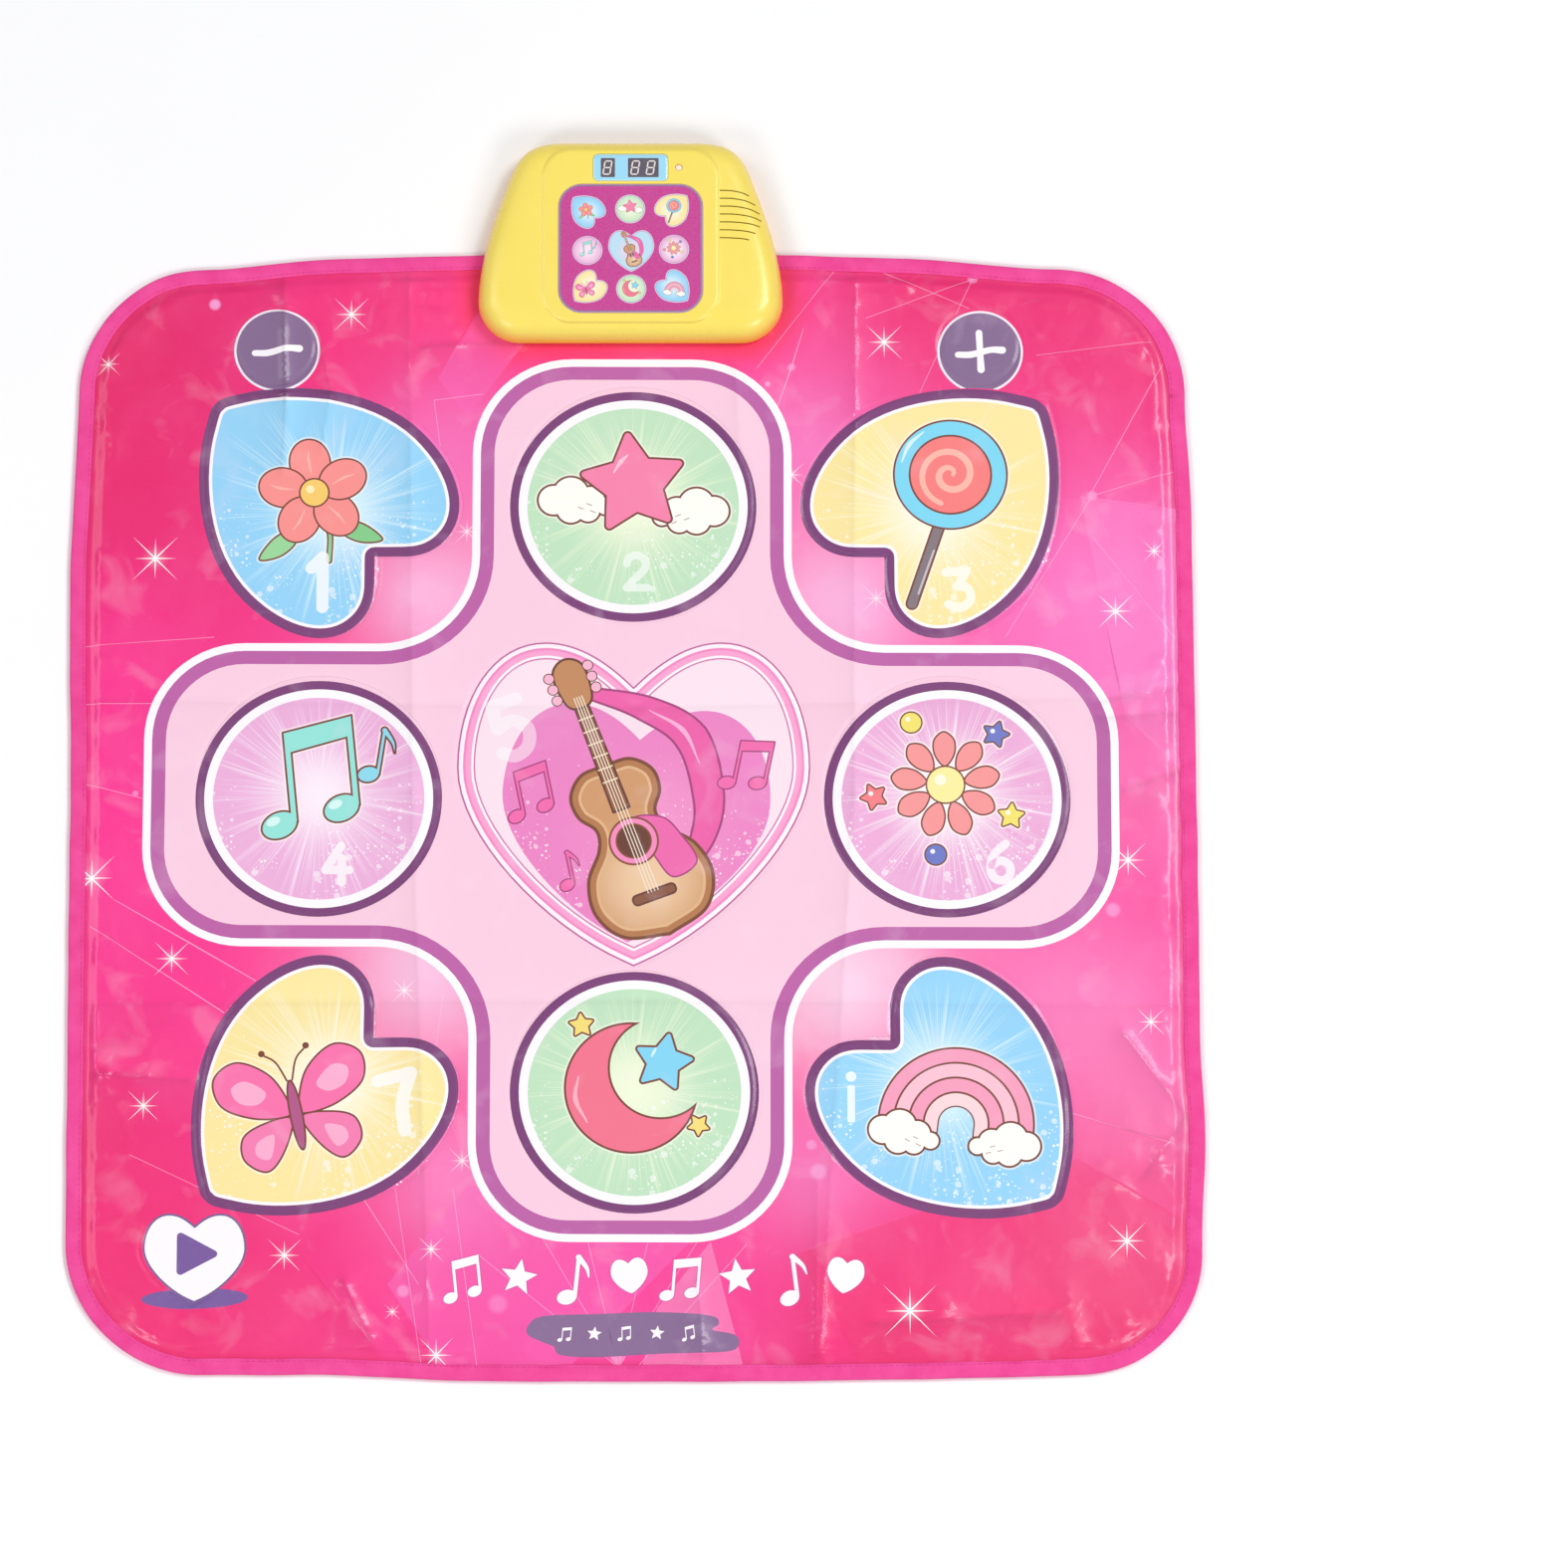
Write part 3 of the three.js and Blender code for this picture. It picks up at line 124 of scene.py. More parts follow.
def set_camera():
    """The photograph's camera: its aim is the mat's middle, and its picture is shifted to where that is."""
    data = bpy.data.cameras.new("camera")
    data.sensor_width = 36.0
    data.lens = focal_pixels / photo_side * data.sensor_width
    data.shift_x = (photo_side / 2 - middle_pixel[0]) / photo_side
    data.shift_y = (middle_pixel[1] - photo_side / 2) / photo_side
    data.clip_end = 100.0
    camera = bpy.data.objects.new("camera", data)
    away = np.array([0.0, -cos(camera_elevation), sin(camera_elevation)]) * camera_distance
    camera.location = placed(away)
    camera.rotation_euler = (pi / 2 - camera_elevation, 0.0, 0.0)
    bpy.context.scene.collection.objects.link(camera)
    bpy.context.scene.camera = camera


set_camera()

# Flat outlines: each is an array of points that closes on itself


def around(x, y, radius, angle):
    """Points at angles from a middle, all at one radius or each at its own."""
    return np.c_[x + radius * np.cos(angle), y + radius * np.sin(angle)]


def circle(x, y, radius, steps=72):
    return around(x, y, radius, np.arange(steps) / steps * tau)


def quarter_arc(steps):
    """A quarter of a circle of radius 1."""
    return around(0, 0, 1, np.arange(steps + 1) / steps * pi / 2)


def oval(x, y, across, along, turn=0.0, steps=48):
    """A circle stretched to two half sizes, then turned."""
    return moved(circle(0, 0, 1, steps) * [across, along], x, y, turn=turn)


def bezier(points, steps=12):
    """The cubic curve of four points, without its last point."""
    t = (np.arange(steps) / steps)[:, None]
    a, b, c, d = (np.asarray(p, float) for p in points)
    return a * (1 - t) ** 3 + b * 3 * t * (1 - t) ** 2 + c * 3 * t * t * (1 - t) + d * t ** 3


def smooth(points, steps=8, closed=True):
    """The Catmull-Rom curve through given points."""
    p = np.asarray(points, float)
    if not closed:
        p = np.concatenate([[2 * p[0] - p[1]], p, [2 * p[-1] - p[-2]]])
    before, start, end, after = (np.roll(p, k, 0) for k in (1, 0, -1, -2))
    t = (np.arange(steps) / steps)[None, :, None]
    a, b, c, d = (q[:, None] for q in (before, start, end, after))
    curve = 0.5 * (2 * b + (c - a) * t + (2 * a - 5 * b + 4 * c - d) * t ** 2
                   + (3 * b - a - 3 * c + d) * t ** 3)
    if closed:
        return curve.reshape(-1, 2)
    return np.concatenate([curve[1:-2].reshape(-1, 2), p[-2:-1]])


def moved(loop, x=0.0, y=0.0, size=1.0, turn=0.0):
    """A loop made larger, turned, then shifted."""
    c, s = cos(turn) * size, sin(turn) * size
    return np.asarray(loop, float) @ np.array([[c, s], [-s, c]]) + [x, y]


def all_moved(loops, *place):
    return [moved(loop, *place) for loop in loops]


def rounded(x, y, width, length, corner, steps=10):
    """A rectangle with quarter circles at its corners."""
    arc = quarter_arc(steps) * corner
    reach = np.array([width / 2 - corner, length / 2 - corner])
    quarters = [moved(arc, turn=k * pi / 2) + reach * side for k, side in enumerate(corner_sides)]
    return np.concatenate(quarters) + [x, y]


def star(x, y, outer, inner, count=5, turn=pi / 2):
    """Points in turn on an outer and an inner circle."""
    step = np.arange(count * 2)
    return around(x, y, np.where(step % 2, inner, outer), turn + step / count * pi)


def signed_area(loop):
    """A loop's area, less than zero when it runs clockwise."""
    x, y = loop.T
    return 0.5 * np.sum(x * np.roll(y, -1) - np.roll(x, -1) * y)


def unit(vectors):
    """Vectors with their lengths made 1."""
    return vectors / np.maximum(np.linalg.norm(vectors, axis=1), 1e-9)[:, None]


def leftward(along):
    """Directions turned a quarter to the left."""
    return np.c_[-along[:, 1], along[:, 0]]


def mixed(first, last, share):
    return first * (1 - share) + last * share


def bell(gap, width):
    """1 in the middle, falling softly to either side."""
    return np.exp(-(gap / width) ** 2)


def back_to_start(loop):
    """A loop as a line that ends where it starts."""
    return np.concatenate([loop, loop[:1]])


def to_sides(points, loop, at_once=3000):
    """The distance from each point to the nearest side of a loop."""
    ends = np.roll(loop, -1, 0)
    along = ends - loop
    squared = np.maximum((along ** 2).sum(1), 1e-12)
    found = []
    for start in range(0, len(points), at_once):
        gap = points[start:start + at_once, None] - loop
        share = np.clip((gap * along).sum(2) / squared, 0, 1)
        found.append(np.sqrt(((gap - share[..., None] * along) ** 2).sum(2).min(1)))
    return np.concatenate(found) if found else np.zeros(0)


def divided(loop, longest):
    """A loop with points added so that no side is longer than a length."""
    loop = np.asarray(loop, float)
    loop = loop[np.linalg.norm(loop - np.roll(loop, 1, 0), axis=1) > 1e-6]
    side = np.roll(loop, -1, 0) - loop
    parts = np.maximum(np.ceil(np.linalg.norm(side, axis=1) / longest).astype(int), 1)
    share = np.concatenate([np.arange(n) / n for n in parts])[:, None]
    return np.repeat(loop, parts, 0) + np.repeat(side, parts, 0) * share


def grown(loop, distance):
    """A loop moved outwards by a distance, or inwards by a negative one.

    Each point goes out between the normals of its two sides, a sharp corner opens into a fan of points,
    and points that end up nearer to the old loop than the distance are dropped."""
    loop = divided(loop if signed_area(loop) > 0 else loop[::-1], 2 * abs(distance) + 0.6)
    side = np.roll(loop, -1, 0) - loop
    after = np.arctan2(-side[:, 0], side[:, 1])
    before = np.roll(after, 1)
    opening = ((after - before + pi) % tau - pi)[:, None]
    open_fan = (opening * distance > 0) & (np.abs(opening) > 0.35)
    angle = before[:, None] + opening * np.where(open_fan, np.linspace(0, 1, 6), 0.5)
    reach = distance / np.where(open_fan, 1, np.maximum(np.cos(opening / 2), 0.25))
    points = loop[:, None] + reach[..., None] * np.stack([np.cos(angle), np.sin(angle)], 2)
    points = points.reshape(-1, 2)
    points = points[to_sides(points, loop) > abs(distance) * 0.995 - 1e-6]
    return points[np.linalg.norm(points - np.roll(points, 1, 0), axis=1) > 0.01 * abs(distance)]


def stroke(points, widths, steps=8, curved=True):
    """A brush line: a curve through points, set out to both sides by half its width, with round ends."""
    line = smooth(points, steps, closed=False) if curved else np.asarray(points, float)
    along = unit(np.gradient(line, axis=0))
    across = leftward(along)
    place = np.linspace(0, 1, len(line))
    widths = np.atleast_1d(widths)
    half = np.interp(place, np.linspace(0, 1, len(widths)), widths)[:, None] / 2
    cap = (np.arange(1, 6) / 6 * pi)[:, None]
    end = line[-1] + half[-1] * (across[-1] * np.cos(cap) + along[-1] * np.sin(cap))
    start = line[0] + half[0] * (-across[0] * np.cos(cap) - along[0] * np.sin(cap))
    return np.concatenate([line + across * half, end, (line - across * half)[::-1], start])[::-1]


# Outlines of the mat, its pads and the control box


def mat_outline(inset=0.0, edge_steps=110, corner_steps=28):
    """A rounded rectangle, each corner with its own radius, whose sides then swell."""
    half = np.array([mat_width / 2, mat_length / 2])
    arc = quarter_arc(corner_steps)
    corners = [moved(arc * (radius - inset), turn=k * pi / 2) + (half - radius) * side
               for k, (side, radius) in enumerate(zip(corner_sides, mat_corners))]
    share = (np.arange(1, edge_steps) / edge_steps)[:, None]
    parts = []
    for k, corner in enumerate(corners):
        following = corners[(k + 1) % 4]
        parts += [corner, mixed(corner[-1], following[0], share)]
    return swollen(np.concatenate(parts))


def swollen(points, way=1):
    """Points moved in towards the mat's middle lines by its bows, and at a few places by how the mat lies.

    A bow is times how far along the mat a point is, times the square of how far across."""
    x, y = points[:, 0], points[:, 1]
    across, along = x / (mat_width / 2), y / (mat_length / 2)
    bow = np.where(y > 0, far_bow, near_bow)
    left = 3.6 * np.maximum(-across, 0) ** 3 * bell(y - 190, 110)
    right = 3.6 * np.maximum(across, 0) ** 3 * bell(y + 272, 50)
    rear = -3.0 * np.maximum(across, 0) ** 3 * bell(y - 350, 45)
    near = 3.0 * np.maximum(-along, 0) ** 3 * bell(x + 240, 70)
    far = -5.0 * np.maximum(along, 0) ** 3 * (bell(x - 325, 60) + bell(x + 335, 50))
    return np.c_[x + way * (right + rear - left - side_bow * across * along ** 2),
                 y + way * (near + far - bow * along * across ** 2)]


def from_edge(points):
    """How far inside the mat's edge points are: the distance to a rounded rectangle, without the swell."""
    flat = swollen(points, -1)
    rear_radius = np.where(flat[:, 0] > 0, mat_corners[0], mat_corners[1])
    near_radius = np.where(flat[:, 0] > 0, mat_corners[3], mat_corners[2])
    radius = np.where(flat[:, 1] > 0, rear_radius, near_radius)
    square = np.abs(flat) - (np.array([mat_width, mat_length]) / 2 - radius[:, None])
    outside = np.linalg.norm(np.maximum(square, 0), axis=1)
    return radius - outside - np.minimum(square.max(1), 0)


heart_notch_share = 0.14
heart_shares = [
    [(0, 0), (0.13, 0.07), (0.3, 0.14), (0.5, 0.14)],
    [(0.5, 0.14), (0.8, 0.14), (1, -0.03), (1, -0.25)],
    [(1, -0.25), (1, -0.46), (0.5, -0.74), (0.06, -0.845)],
]


def heart(x, notch_y, half_width, height, turn=0.0, steps=16, shares=heart_shares):
    """A heart from its notch: curves down its right side, the same mirrored, and a soft tip."""
    size = np.array([half_width, height])
    right = np.concatenate([bezier(np.array(c) * size, steps) for c in shares])
    end = np.array([shares[-1][-1]]) * size
    right = np.concatenate([right, end])
    tip = np.array([[0, -(1 - heart_notch_share) * height]])
    left = right[1:] * [-1, 1]
    return moved(np.concatenate([right[:1], left, tip, right[:0:-1]]), x, notch_y, turn=turn)


circle_radius = size_of("pad_2_face")[0] / 2
pitch_x = middle("pad_6_face")[0]
field_y = middle("pad_4_face")[1]
pitch_y = middle("pad_2_face")[1] - field_y
corner_half = circle_radius * 2 * 0.515
corner_height = circle_radius * 2 * 1.092
corner_notch_x = pitch_x - circle_radius * 2 * 0.235
corner_notch_y = pitch_y - circle_radius * 2 * 0.22
key_radius = size_of("key_plus_face")[0] / 2


def corner_heart(side_x, side_y):
    """A heart in a corner of the field, its tip to the corner."""
    turn = -atan2(-side_x, -side_y)
    return heart(side_x * corner_notch_x, field_y + side_y * corner_notch_y,
                 corner_half, corner_height, turn)


def upright_heart(node):
    low, high = span(node)
    height = (high - low)[1]
    notch = high[1] - heart_notch_share * height
    return heart((low + high)[0] / 2, notch, (high - low)[0] / 2, height)


def disc(node, radius):
    return circle(*middle(node), radius, 96)


zones = {
    "pad_1": corner_heart(-1, 1),
    "pad_2": disc("pad_2_face", circle_radius),
    "pad_3": corner_heart(1, 1),
    "pad_4": disc("pad_4_face", circle_radius),
    "pad_5": upright_heart("pad_5_face"),
    "pad_6": disc("pad_6_face", circle_radius),
    "pad_7": corner_heart(-1, -1),
    "pad_8": corner_heart(1, -1),
    "pad_9": disc("pad_9_face", circle_radius),
    "key_minus": disc("key_minus_face", key_radius),
    "key_plus": disc("key_plus_face", key_radius),
    "key_start": upright_heart("key_start_face"),
}

box_low, box_high = span("housing_top")
box_x = (box_low + box_high)[0] / 2
box_front, box_rear = box_low[1], box_high[1]
box_half = (box_high - box_low)[0] / 2
box_rear_half = box_half * 98 / 123
box_back_edge = box_half * 55 / 123
box_corner = 34.0
box_rear_corner = 30.0


def box_outline(inset=0.0, steps=22):
    """The control box from above: a soft trapezoid of three curves a side, wide at the front."""
    front_top = box_front + box_corner
    rear_low = box_rear - box_rear_corner
    run = (rear_low - front_top) * 0.33
    lean = (box_half - box_rear_half) / 2
    handle, rear_handle = box_corner * 0.55, box_rear_corner * 0.55
    start = box_half - box_corner
    share = (np.arange(1, steps) / steps)[:, None]
    right = np.concatenate([
        bezier([(start, box_front), (start + handle, box_front), (box_half, front_top - handle),
                (box_half, front_top)], steps),
        bezier([(box_half, front_top), (box_half, front_top + run),
                (box_rear_half + lean, rear_low - run), (box_rear_half, rear_low)], steps * 2),
        bezier([(box_rear_half, rear_low), (box_rear_half - lean / 2, rear_low + rear_handle),
                (box_back_edge + box_rear_corner, box_rear), (box_back_edge, box_rear)], steps),
        [(box_back_edge, box_rear)],
    ])
    left = (right * [-1, 1])[::-1]
    rear = mixed(right[-1], left[0], share)
    front = mixed(left[-1], right[0], share)
    loop = np.concatenate([right, rear, left, front]) + [box_x, 0]
    if not inset:
        return loop
    return loop + inset * leftward(unit(np.roll(loop, -1, 0) - np.roll(loop, 1, 0)))


def inside(points, loop):
    """True where a line to the right of a point crosses the loop an odd number of times."""
    x, y = points[:, None, 0], points[:, None, 1]
    a, b = loop, np.roll(loop, -1, 0)
    spans = (a[:, 1] > y) != (b[:, 1] > y)
    rise = np.where(b[:, 1] == a[:, 1], 1e-9, b[:, 1] - a[:, 1])
    return (spans & (x < a[:, 0] + (y - a[:, 1]) / rise * (b[:, 0] - a[:, 0]))).sum(1) % 2 == 1


# Printing: colours are laid on the triangles of a surface, shape over shape


def ink(code):
    """A colour such as #ff3a98 as light, from 0 to 1."""
    value = np.array([int(code[k:k + 2], 16) for k in (1, 3, 5)]) / 255
    return np.where(value <= 0.04045, value / 12.92, ((value + 0.055) / 1.055) ** 2.4)


def layer(loops, color, alpha=1.0, without=(), bare=0.0, extra=()):
    """One printed shape: inside any of the loops and outside all of the others.

    Colour and alpha may be functions of places. bare is how far the rays of the ground show on it."""
    return {"in": [np.asarray(p, float) for p in loops], "out": [np.asarray(p, float) for p in without],
            "color": color, "alpha": alpha, "bare": bare, "extra": list(extra)}


def set_down(layers, x=0.0, y=0.0, size=1.0, turn=0.0):
    """Printed shapes moved to their place, with the colours that depend on places."""
    c, s = cos(turn) / size, sin(turn) / size

    def there(color):
        if not callable(color):
            return color
        return lambda points: color((points - [x, y]) @ np.array([[c, -s], [s, c]]))
    return [{**one, "color": there(one["color"]), "in": all_moved(one["in"], x, y, size, turn),
             "out": all_moved(one["out"], x, y, size, turn)} for one in layers]


def shaded(centre, inner, outer, near=0.0, far=62.0):
    """A ground that changes from one ink to another outwards from its middle."""
    first, last = ink(inner), ink(outer)

    def ground(points):
        return mixed(first, last, ease(np.linalg.norm(points - centre, axis=1), near, far)[:, None])
    return ground


def plain(code):
    """A ground of one ink."""
    return lambda points: np.tile(ink(code), (len(points), 1))


def grown_layer(loops, distance, *look, **more):
    """One printed shape whose loops are moved outwards first, or inwards by a negative distance."""
    loops = [loops] if isinstance(loops, np.ndarray) else loops
    return layer([grown(p, distance) for p in loops], *look, **more)


line_brown = "#7d4436"


def lined(loops, fill, line=line_brown, width=1.5):
    """A filled figure with a drawn line round it."""
    return [grown_layer(loops, width / 2, line), grown_layer(loops, -width / 2, fill)]


lattice_size = 64
lattice_shift = 16


def value_noise(points, cell, seed, straight=False):
    """Random heights from -1 to 1, a lattice of them a cell apart.

    They blend smoothly between lattice points, or straight over triangles, which gives flat facets
    with creases between them, as in crumpled film."""
    table = np.random.default_rng(seed).uniform(-1, 1, (lattice_size, lattice_size))
    place = points / cell + lattice_shift
    corner = np.floor(place).astype(int)
    x, y = (place - corner).T
    i, j = corner.T
    h00, h10, h01, h11 = (table[(i + right) % lattice_size, (j + up) % lattice_size]
                          for up in (0, 1) for right in (0, 1))
    if straight:
        low = h00 + x * (h10 - h00) + y * (h01 - h00)
        high = h11 + (1 - x) * (h01 - h11) + (1 - y) * (h10 - h11)
        return np.where(x + y > 1, high, low)
    x, y = ease(x, 0, 1), ease(y, 0, 1)
    return mixed(mixed(h00, h10, x), mixed(h01, h11, x), y)


def ease(value, low, high):
    """From 0 at low to 1 at high, with soft ends."""
    t = np.clip((value - low) / (high - low), 0, 1)
    return t * t * (3 - 2 * t)


def net(region, holes, layers, spacing, lines=()):
    """Triangles over a region with holes that follow every printed edge.

    A lattice of points fills the region between the edges. Returns places, triangles, and for each
    layer which triangles it prints."""
    loops = [region, *holes]
    groups = []
    for one in layers:
        first = len(loops)
        loops += one["in"]
        cut = len(loops)
        loops += one["out"]
        groups.append((range(first, cut), range(cut, len(loops))))
    low, high = region.min(0), region.max(0)
    columns = np.arange(low[0] + spacing / 2, high[0], spacing)
    rows = np.arange(low[1] + spacing / 2, high[1], spacing * 0.87)
    x, y = np.meshgrid(columns, rows)
    x = x + (np.arange(len(rows)) % 2)[:, None] * spacing / 2
    lattice = np.c_[x.ravel(), y.ravel()]
    extra = [np.atleast_2d(p) for one in layers for p in one["extra"]]
    points, faces, edges = [], [], []
    total = 0
    loops = [loop if signed_area(loop) > 0 else loop[::-1] for loop in loops]
    for loop in loops:
        faces.append(list(range(total, total + len(loop))))
        points.append(loop)
        total += len(loop)
    for line in lines:
        edges += [(total + k, total + k + 1) for k in range(len(line) - 1)]
        points.append(line)
        total += len(line)
    points = np.concatenate([*points, *extra, lattice])
    found = delaunay_2d_cdt([Vector(p) for p in points.tolist()], edges, faces, 0, 1e-4, True)
    places = np.array([tuple(p) for p in found[0]])
    triangles = np.array(found[2])
    counts = np.array([len(ids) for ids in found[5]])
    member = np.zeros((len(triangles), len(loops)), bool)
    member[np.repeat(np.arange(len(triangles)), counts), np.concatenate(found[5]).astype(int)] = True
    keep = member[:, 0] & ~member[:, 1:1 + len(holes)].any(1)
    triangles, member = triangles[keep], member[keep]
    a, b, c = (places[triangles[:, k]] for k in range(3))
    turned = (b - a)[:, 0] * (c - a)[:, 1] - (b - a)[:, 1] * (c - a)[:, 0]
    triangles = np.where((turned < 0)[:, None], triangles[:, ::-1], triangles)
    solid = np.abs(turned) > 1e-9
    triangles, member = triangles[solid], member[solid]
    used, flat = np.unique(triangles, return_inverse=True)
    prints = [member[:, list(g)].any(1) & ~member[:, list(o)].any(1) for g, o in groups]
    return places[used], flat.reshape(-1, 3), prints


def printed(places, triangles, layers, prints, ground, painted_shade=None):
    """The colour at each triangle's corners: the ground, then each layer over it in turn, then painted shade.
    """
    spots = places[triangles].reshape(-1, 2)
    color = np.concatenate([ground(spots), np.ones((len(spots), 1))], 1)
    for one, where in zip(layers, prints):
        at = np.repeat(where, 3)
        if not at.any():
            continue
        here = spots[at]
        tint = one["color"](here) if callable(one["color"]) else ink(one["color"])
        alpha = one["alpha"](here) if callable(one["alpha"]) else one["alpha"]
        alpha = np.broadcast_to(alpha, len(here))[:, None]
        over = np.c_[np.broadcast_to(tint, (len(here), 3)), np.full(len(here), one["bare"])]
        color[at] = mixed(color[at], over, alpha)
    # painted shade of the folds, laid over the print
    if painted_shade is not None:
        color[:, :3] = np.clip(color[:, :3] * painted_shade(spots)[:, None], 0, 1)
    return color


def open_sides(triangles):
    """The sides that only one triangle has, in that triangle's direction."""
    sides = np.concatenate([triangles[:, [0, 1]], triangles[:, [1, 2]], triangles[:, [2, 0]]])
    base = int(triangles.max()) + 1
    forward, back = sides[:, 0] * base + sides[:, 1], sides[:, 1] * base + sides[:, 0]
    return sides[~np.isin(forward, back)]


def add_mesh(name, points, faces, material):
    """An object at the origin from points in millimetres and a list of face arrays."""
    mesh = bpy.data.meshes.new(name)
    faces = [f for block in faces for f in np.asarray(block).tolist()]
    mesh.from_pydata(placed(points).tolist(), [], faces)
    mesh.polygons.foreach_set("use_smooth", [True] * len(faces))
    mesh.materials.append(material)
    thing = bpy.data.objects.new(name, mesh)
    bpy.context.scene.collection.objects.link(thing)
    return thing


def paint(thing, corners, rest):
    """Writes the print's colours to the mesh: its first corners as given, the others in one colour."""
    mesh = thing.data
    colors = np.empty((len(mesh.loops), 4), np.float32)
    colors[:] = [*rest, 0.0]
    colors[:len(corners)] = corners
    mesh.attributes.new("print", "FLOAT_COLOR", "CORNER").data.foreach_set("color", colors.ravel())


def slab(name, region, holes, layers, ground, top, under, spacing, material,
         lines=(), wall_from=None, back="#f6dbe9", drop=0.25, painted_shade=None):
    """A printed sheet with a top and an underside, each a height over the plane, and walls between.

    Normals of the top come from the slope of its height over a short drop to either side, so that the
    print's triangles don't show; a drop of 0 leaves them to the mesh."""
    places, triangles, prints = net(region, holes, layers, spacing, lines)
    corners = printed(places, triangles, layers, prints, ground, painted_shade)
    count = len(places)
    points = np.concatenate([np.c_[places, top(places)], np.c_[places, under(places)]])
    sides = open_sides(triangles)
    if wall_from is not None:
        sides = sides[wall_from(places[sides].mean(1))]
    walls = np.c_[sides[:, 1], sides[:, 0], sides[:, 0] + count, sides[:, 1] + count]
    thing = add_mesh(name, points, [triangles, triangles[:, ::-1] + count, walls], material)
    paint(thing, corners, ink(back))
    if drop:
        slopes = [(top(places + step) - top(places - step)) / (2 * drop) for step in drop * np.eye(2)]
        normal = unit(np.c_[-slopes[0], -slopes[1], np.ones(count)])
        down = np.broadcast_to([0.0, 0.0, -1.0], (len(triangles) * 3, 3))
        run = unit(places[sides[:, 1]] - places[sides[:, 0]])
        out = np.repeat(np.c_[-leftward(run), np.zeros(len(run))], 4, axis=0)
        every = np.concatenate([normal[triangles].reshape(-1, 3), down, out])
        thing.data.normals_split_custom_set(every.tolist())
    return thing


def sweep(name, rows, material, tube=False, flip=False):
    """A skin over rows of points: rows[i, j] is point j of the section at place i of the path.

    A tube has a closed section, an open path and capped ends. Without it the path closes on itself and
    the section stays open."""
    index = np.arange(rows.shape[0] * rows.shape[1]).reshape(rows.shape[:2])
    if tube:
        a, b = index[:-1], index[1:]
        corners = [a, b, np.roll(b, -1, 1), np.roll(a, -1, 1)]
        ends = [[index[0]], [index[-1][::-1]]]
    else:
        a, b = index, np.roll(index, -1, 0)
        corners = [a[:, :-1], b[:, :-1], b[:, 1:], a[:, 1:]]
        ends = []
    quads = np.stack([corner.ravel() for corner in corners], 1)
    return add_mesh(name, rows.reshape(-1, 3), [quads[:, ::-1] if flip else quads, *ends], material)


def welded_together(first, second):
    """Two touching skins made one, where their points meet."""
    work = bmesh.new()
    work.from_mesh(first.data)
    work.from_mesh(second.data)
    bmesh.ops.remove_doubles(work, verts=work.verts, dist=2e-6)
    work.to_mesh(first.data)
    work.free()
    bpy.data.objects.remove(second)
    return first


# Finishes


def finish(name, color="#ffffff", roughness=0.5, metallic=0.0):
    """A new material with its shader, ready for its grain."""
    material = bpy.data.materials.new(name)
    material.use_nodes = True
    tree = material.node_tree
    shader = tree.nodes["Principled BSDF"]
    shader.inputs["Base Color"].default_value = (*ink(color), 1)
    shader.inputs["Roughness"].default_value = roughness
    shader.inputs["Metallic"].default_value = metallic
    return material, tree, shader


def feed(tree, made, inputs):
    """Sets a node's inputs, each to a value or to another node's output."""
    for key, value in inputs.items():
        if isinstance(value, bpy.types.NodeSocket):
            tree.links.new(value, made.inputs[key])
        else:
            made.inputs[key].default_value = value


def node(tree, kind, inputs=None, **settings):
    """A new node with its settings and inputs."""
    made = tree.nodes.new(kind)
    for key, value in settings.items():
        setattr(made, key, value)
    feed(tree, made, inputs or {})
    return made


def own_place(tree):
    return node(tree, "ShaderNodeTexCoord").outputs["Object"]


def print_of(tree):
    """The mesh's print: its colour, and how bare the ground is."""
    made = node(tree, "ShaderNodeAttribute", attribute_name="print", attribute_type="GEOMETRY")
    return made.outputs["Color"], made.outputs["Alpha"]


def noise(tree, place, scale, detail=3.0, roughness=0.55, warp=0.0):
    made = node(tree, "ShaderNodeTexNoise", {
        "Vector": place, "Scale": scale, "Detail": detail, "Roughness": roughness, "Distortion": warp})
    return made.outputs["Fac"]


def between(tree, value, low, high, to_low=0.0, to_high=1.0):
    """A value's range stretched to another, and kept inside it."""
    made = node(tree, "ShaderNodeMapRange", {
        "Value": value, "From Min": low, "From Max": high, "To Min": to_low, "To Max": to_high})
    return made.outputs["Result"]


def patchy(tree, place, scale, detail=3.0, to_low=0.0, to_high=1.0):
    """The middle of a noise's range, stretched to another range."""
    return between(tree, noise(tree, place, scale, detail), 0.3, 0.7, to_low, to_high)


def worked_out(tree, operation, a, b):
    """A sum such as DIVIDE or MAXIMUM of two values."""
    return node(tree, "ShaderNodeMath", {0: a, 1: b}, operation=operation).outputs[0]


def product(tree, first, *others):
    for other in others:
        first = worked_out(tree, "MULTIPLY", first, other)
    return first


def blended(tree, share, first, second):
    """Two colours mixed; a colour is a code or another node's output."""
    first, second = ((*ink(color), 1) if isinstance(color, str) else color for color in (first, second))
    return node(tree, "ShaderNodeMix", {0: share, 6: first, 7: second}, data_type="RGBA").outputs[2]


def raised(tree, shader, height, strength, distance):
    """Puts a height's bumps on the shader, over those it already has."""
    inputs = {"Height": height, "Strength": strength, "Distance": distance}
    if shader.inputs["Normal"].is_linked:
        inputs["Normal"] = shader.inputs["Normal"].links[0].from_socket
    made = node(tree, "ShaderNodeBump", inputs)
    tree.links.new(made.outputs["Normal"], shader.inputs["Normal"])


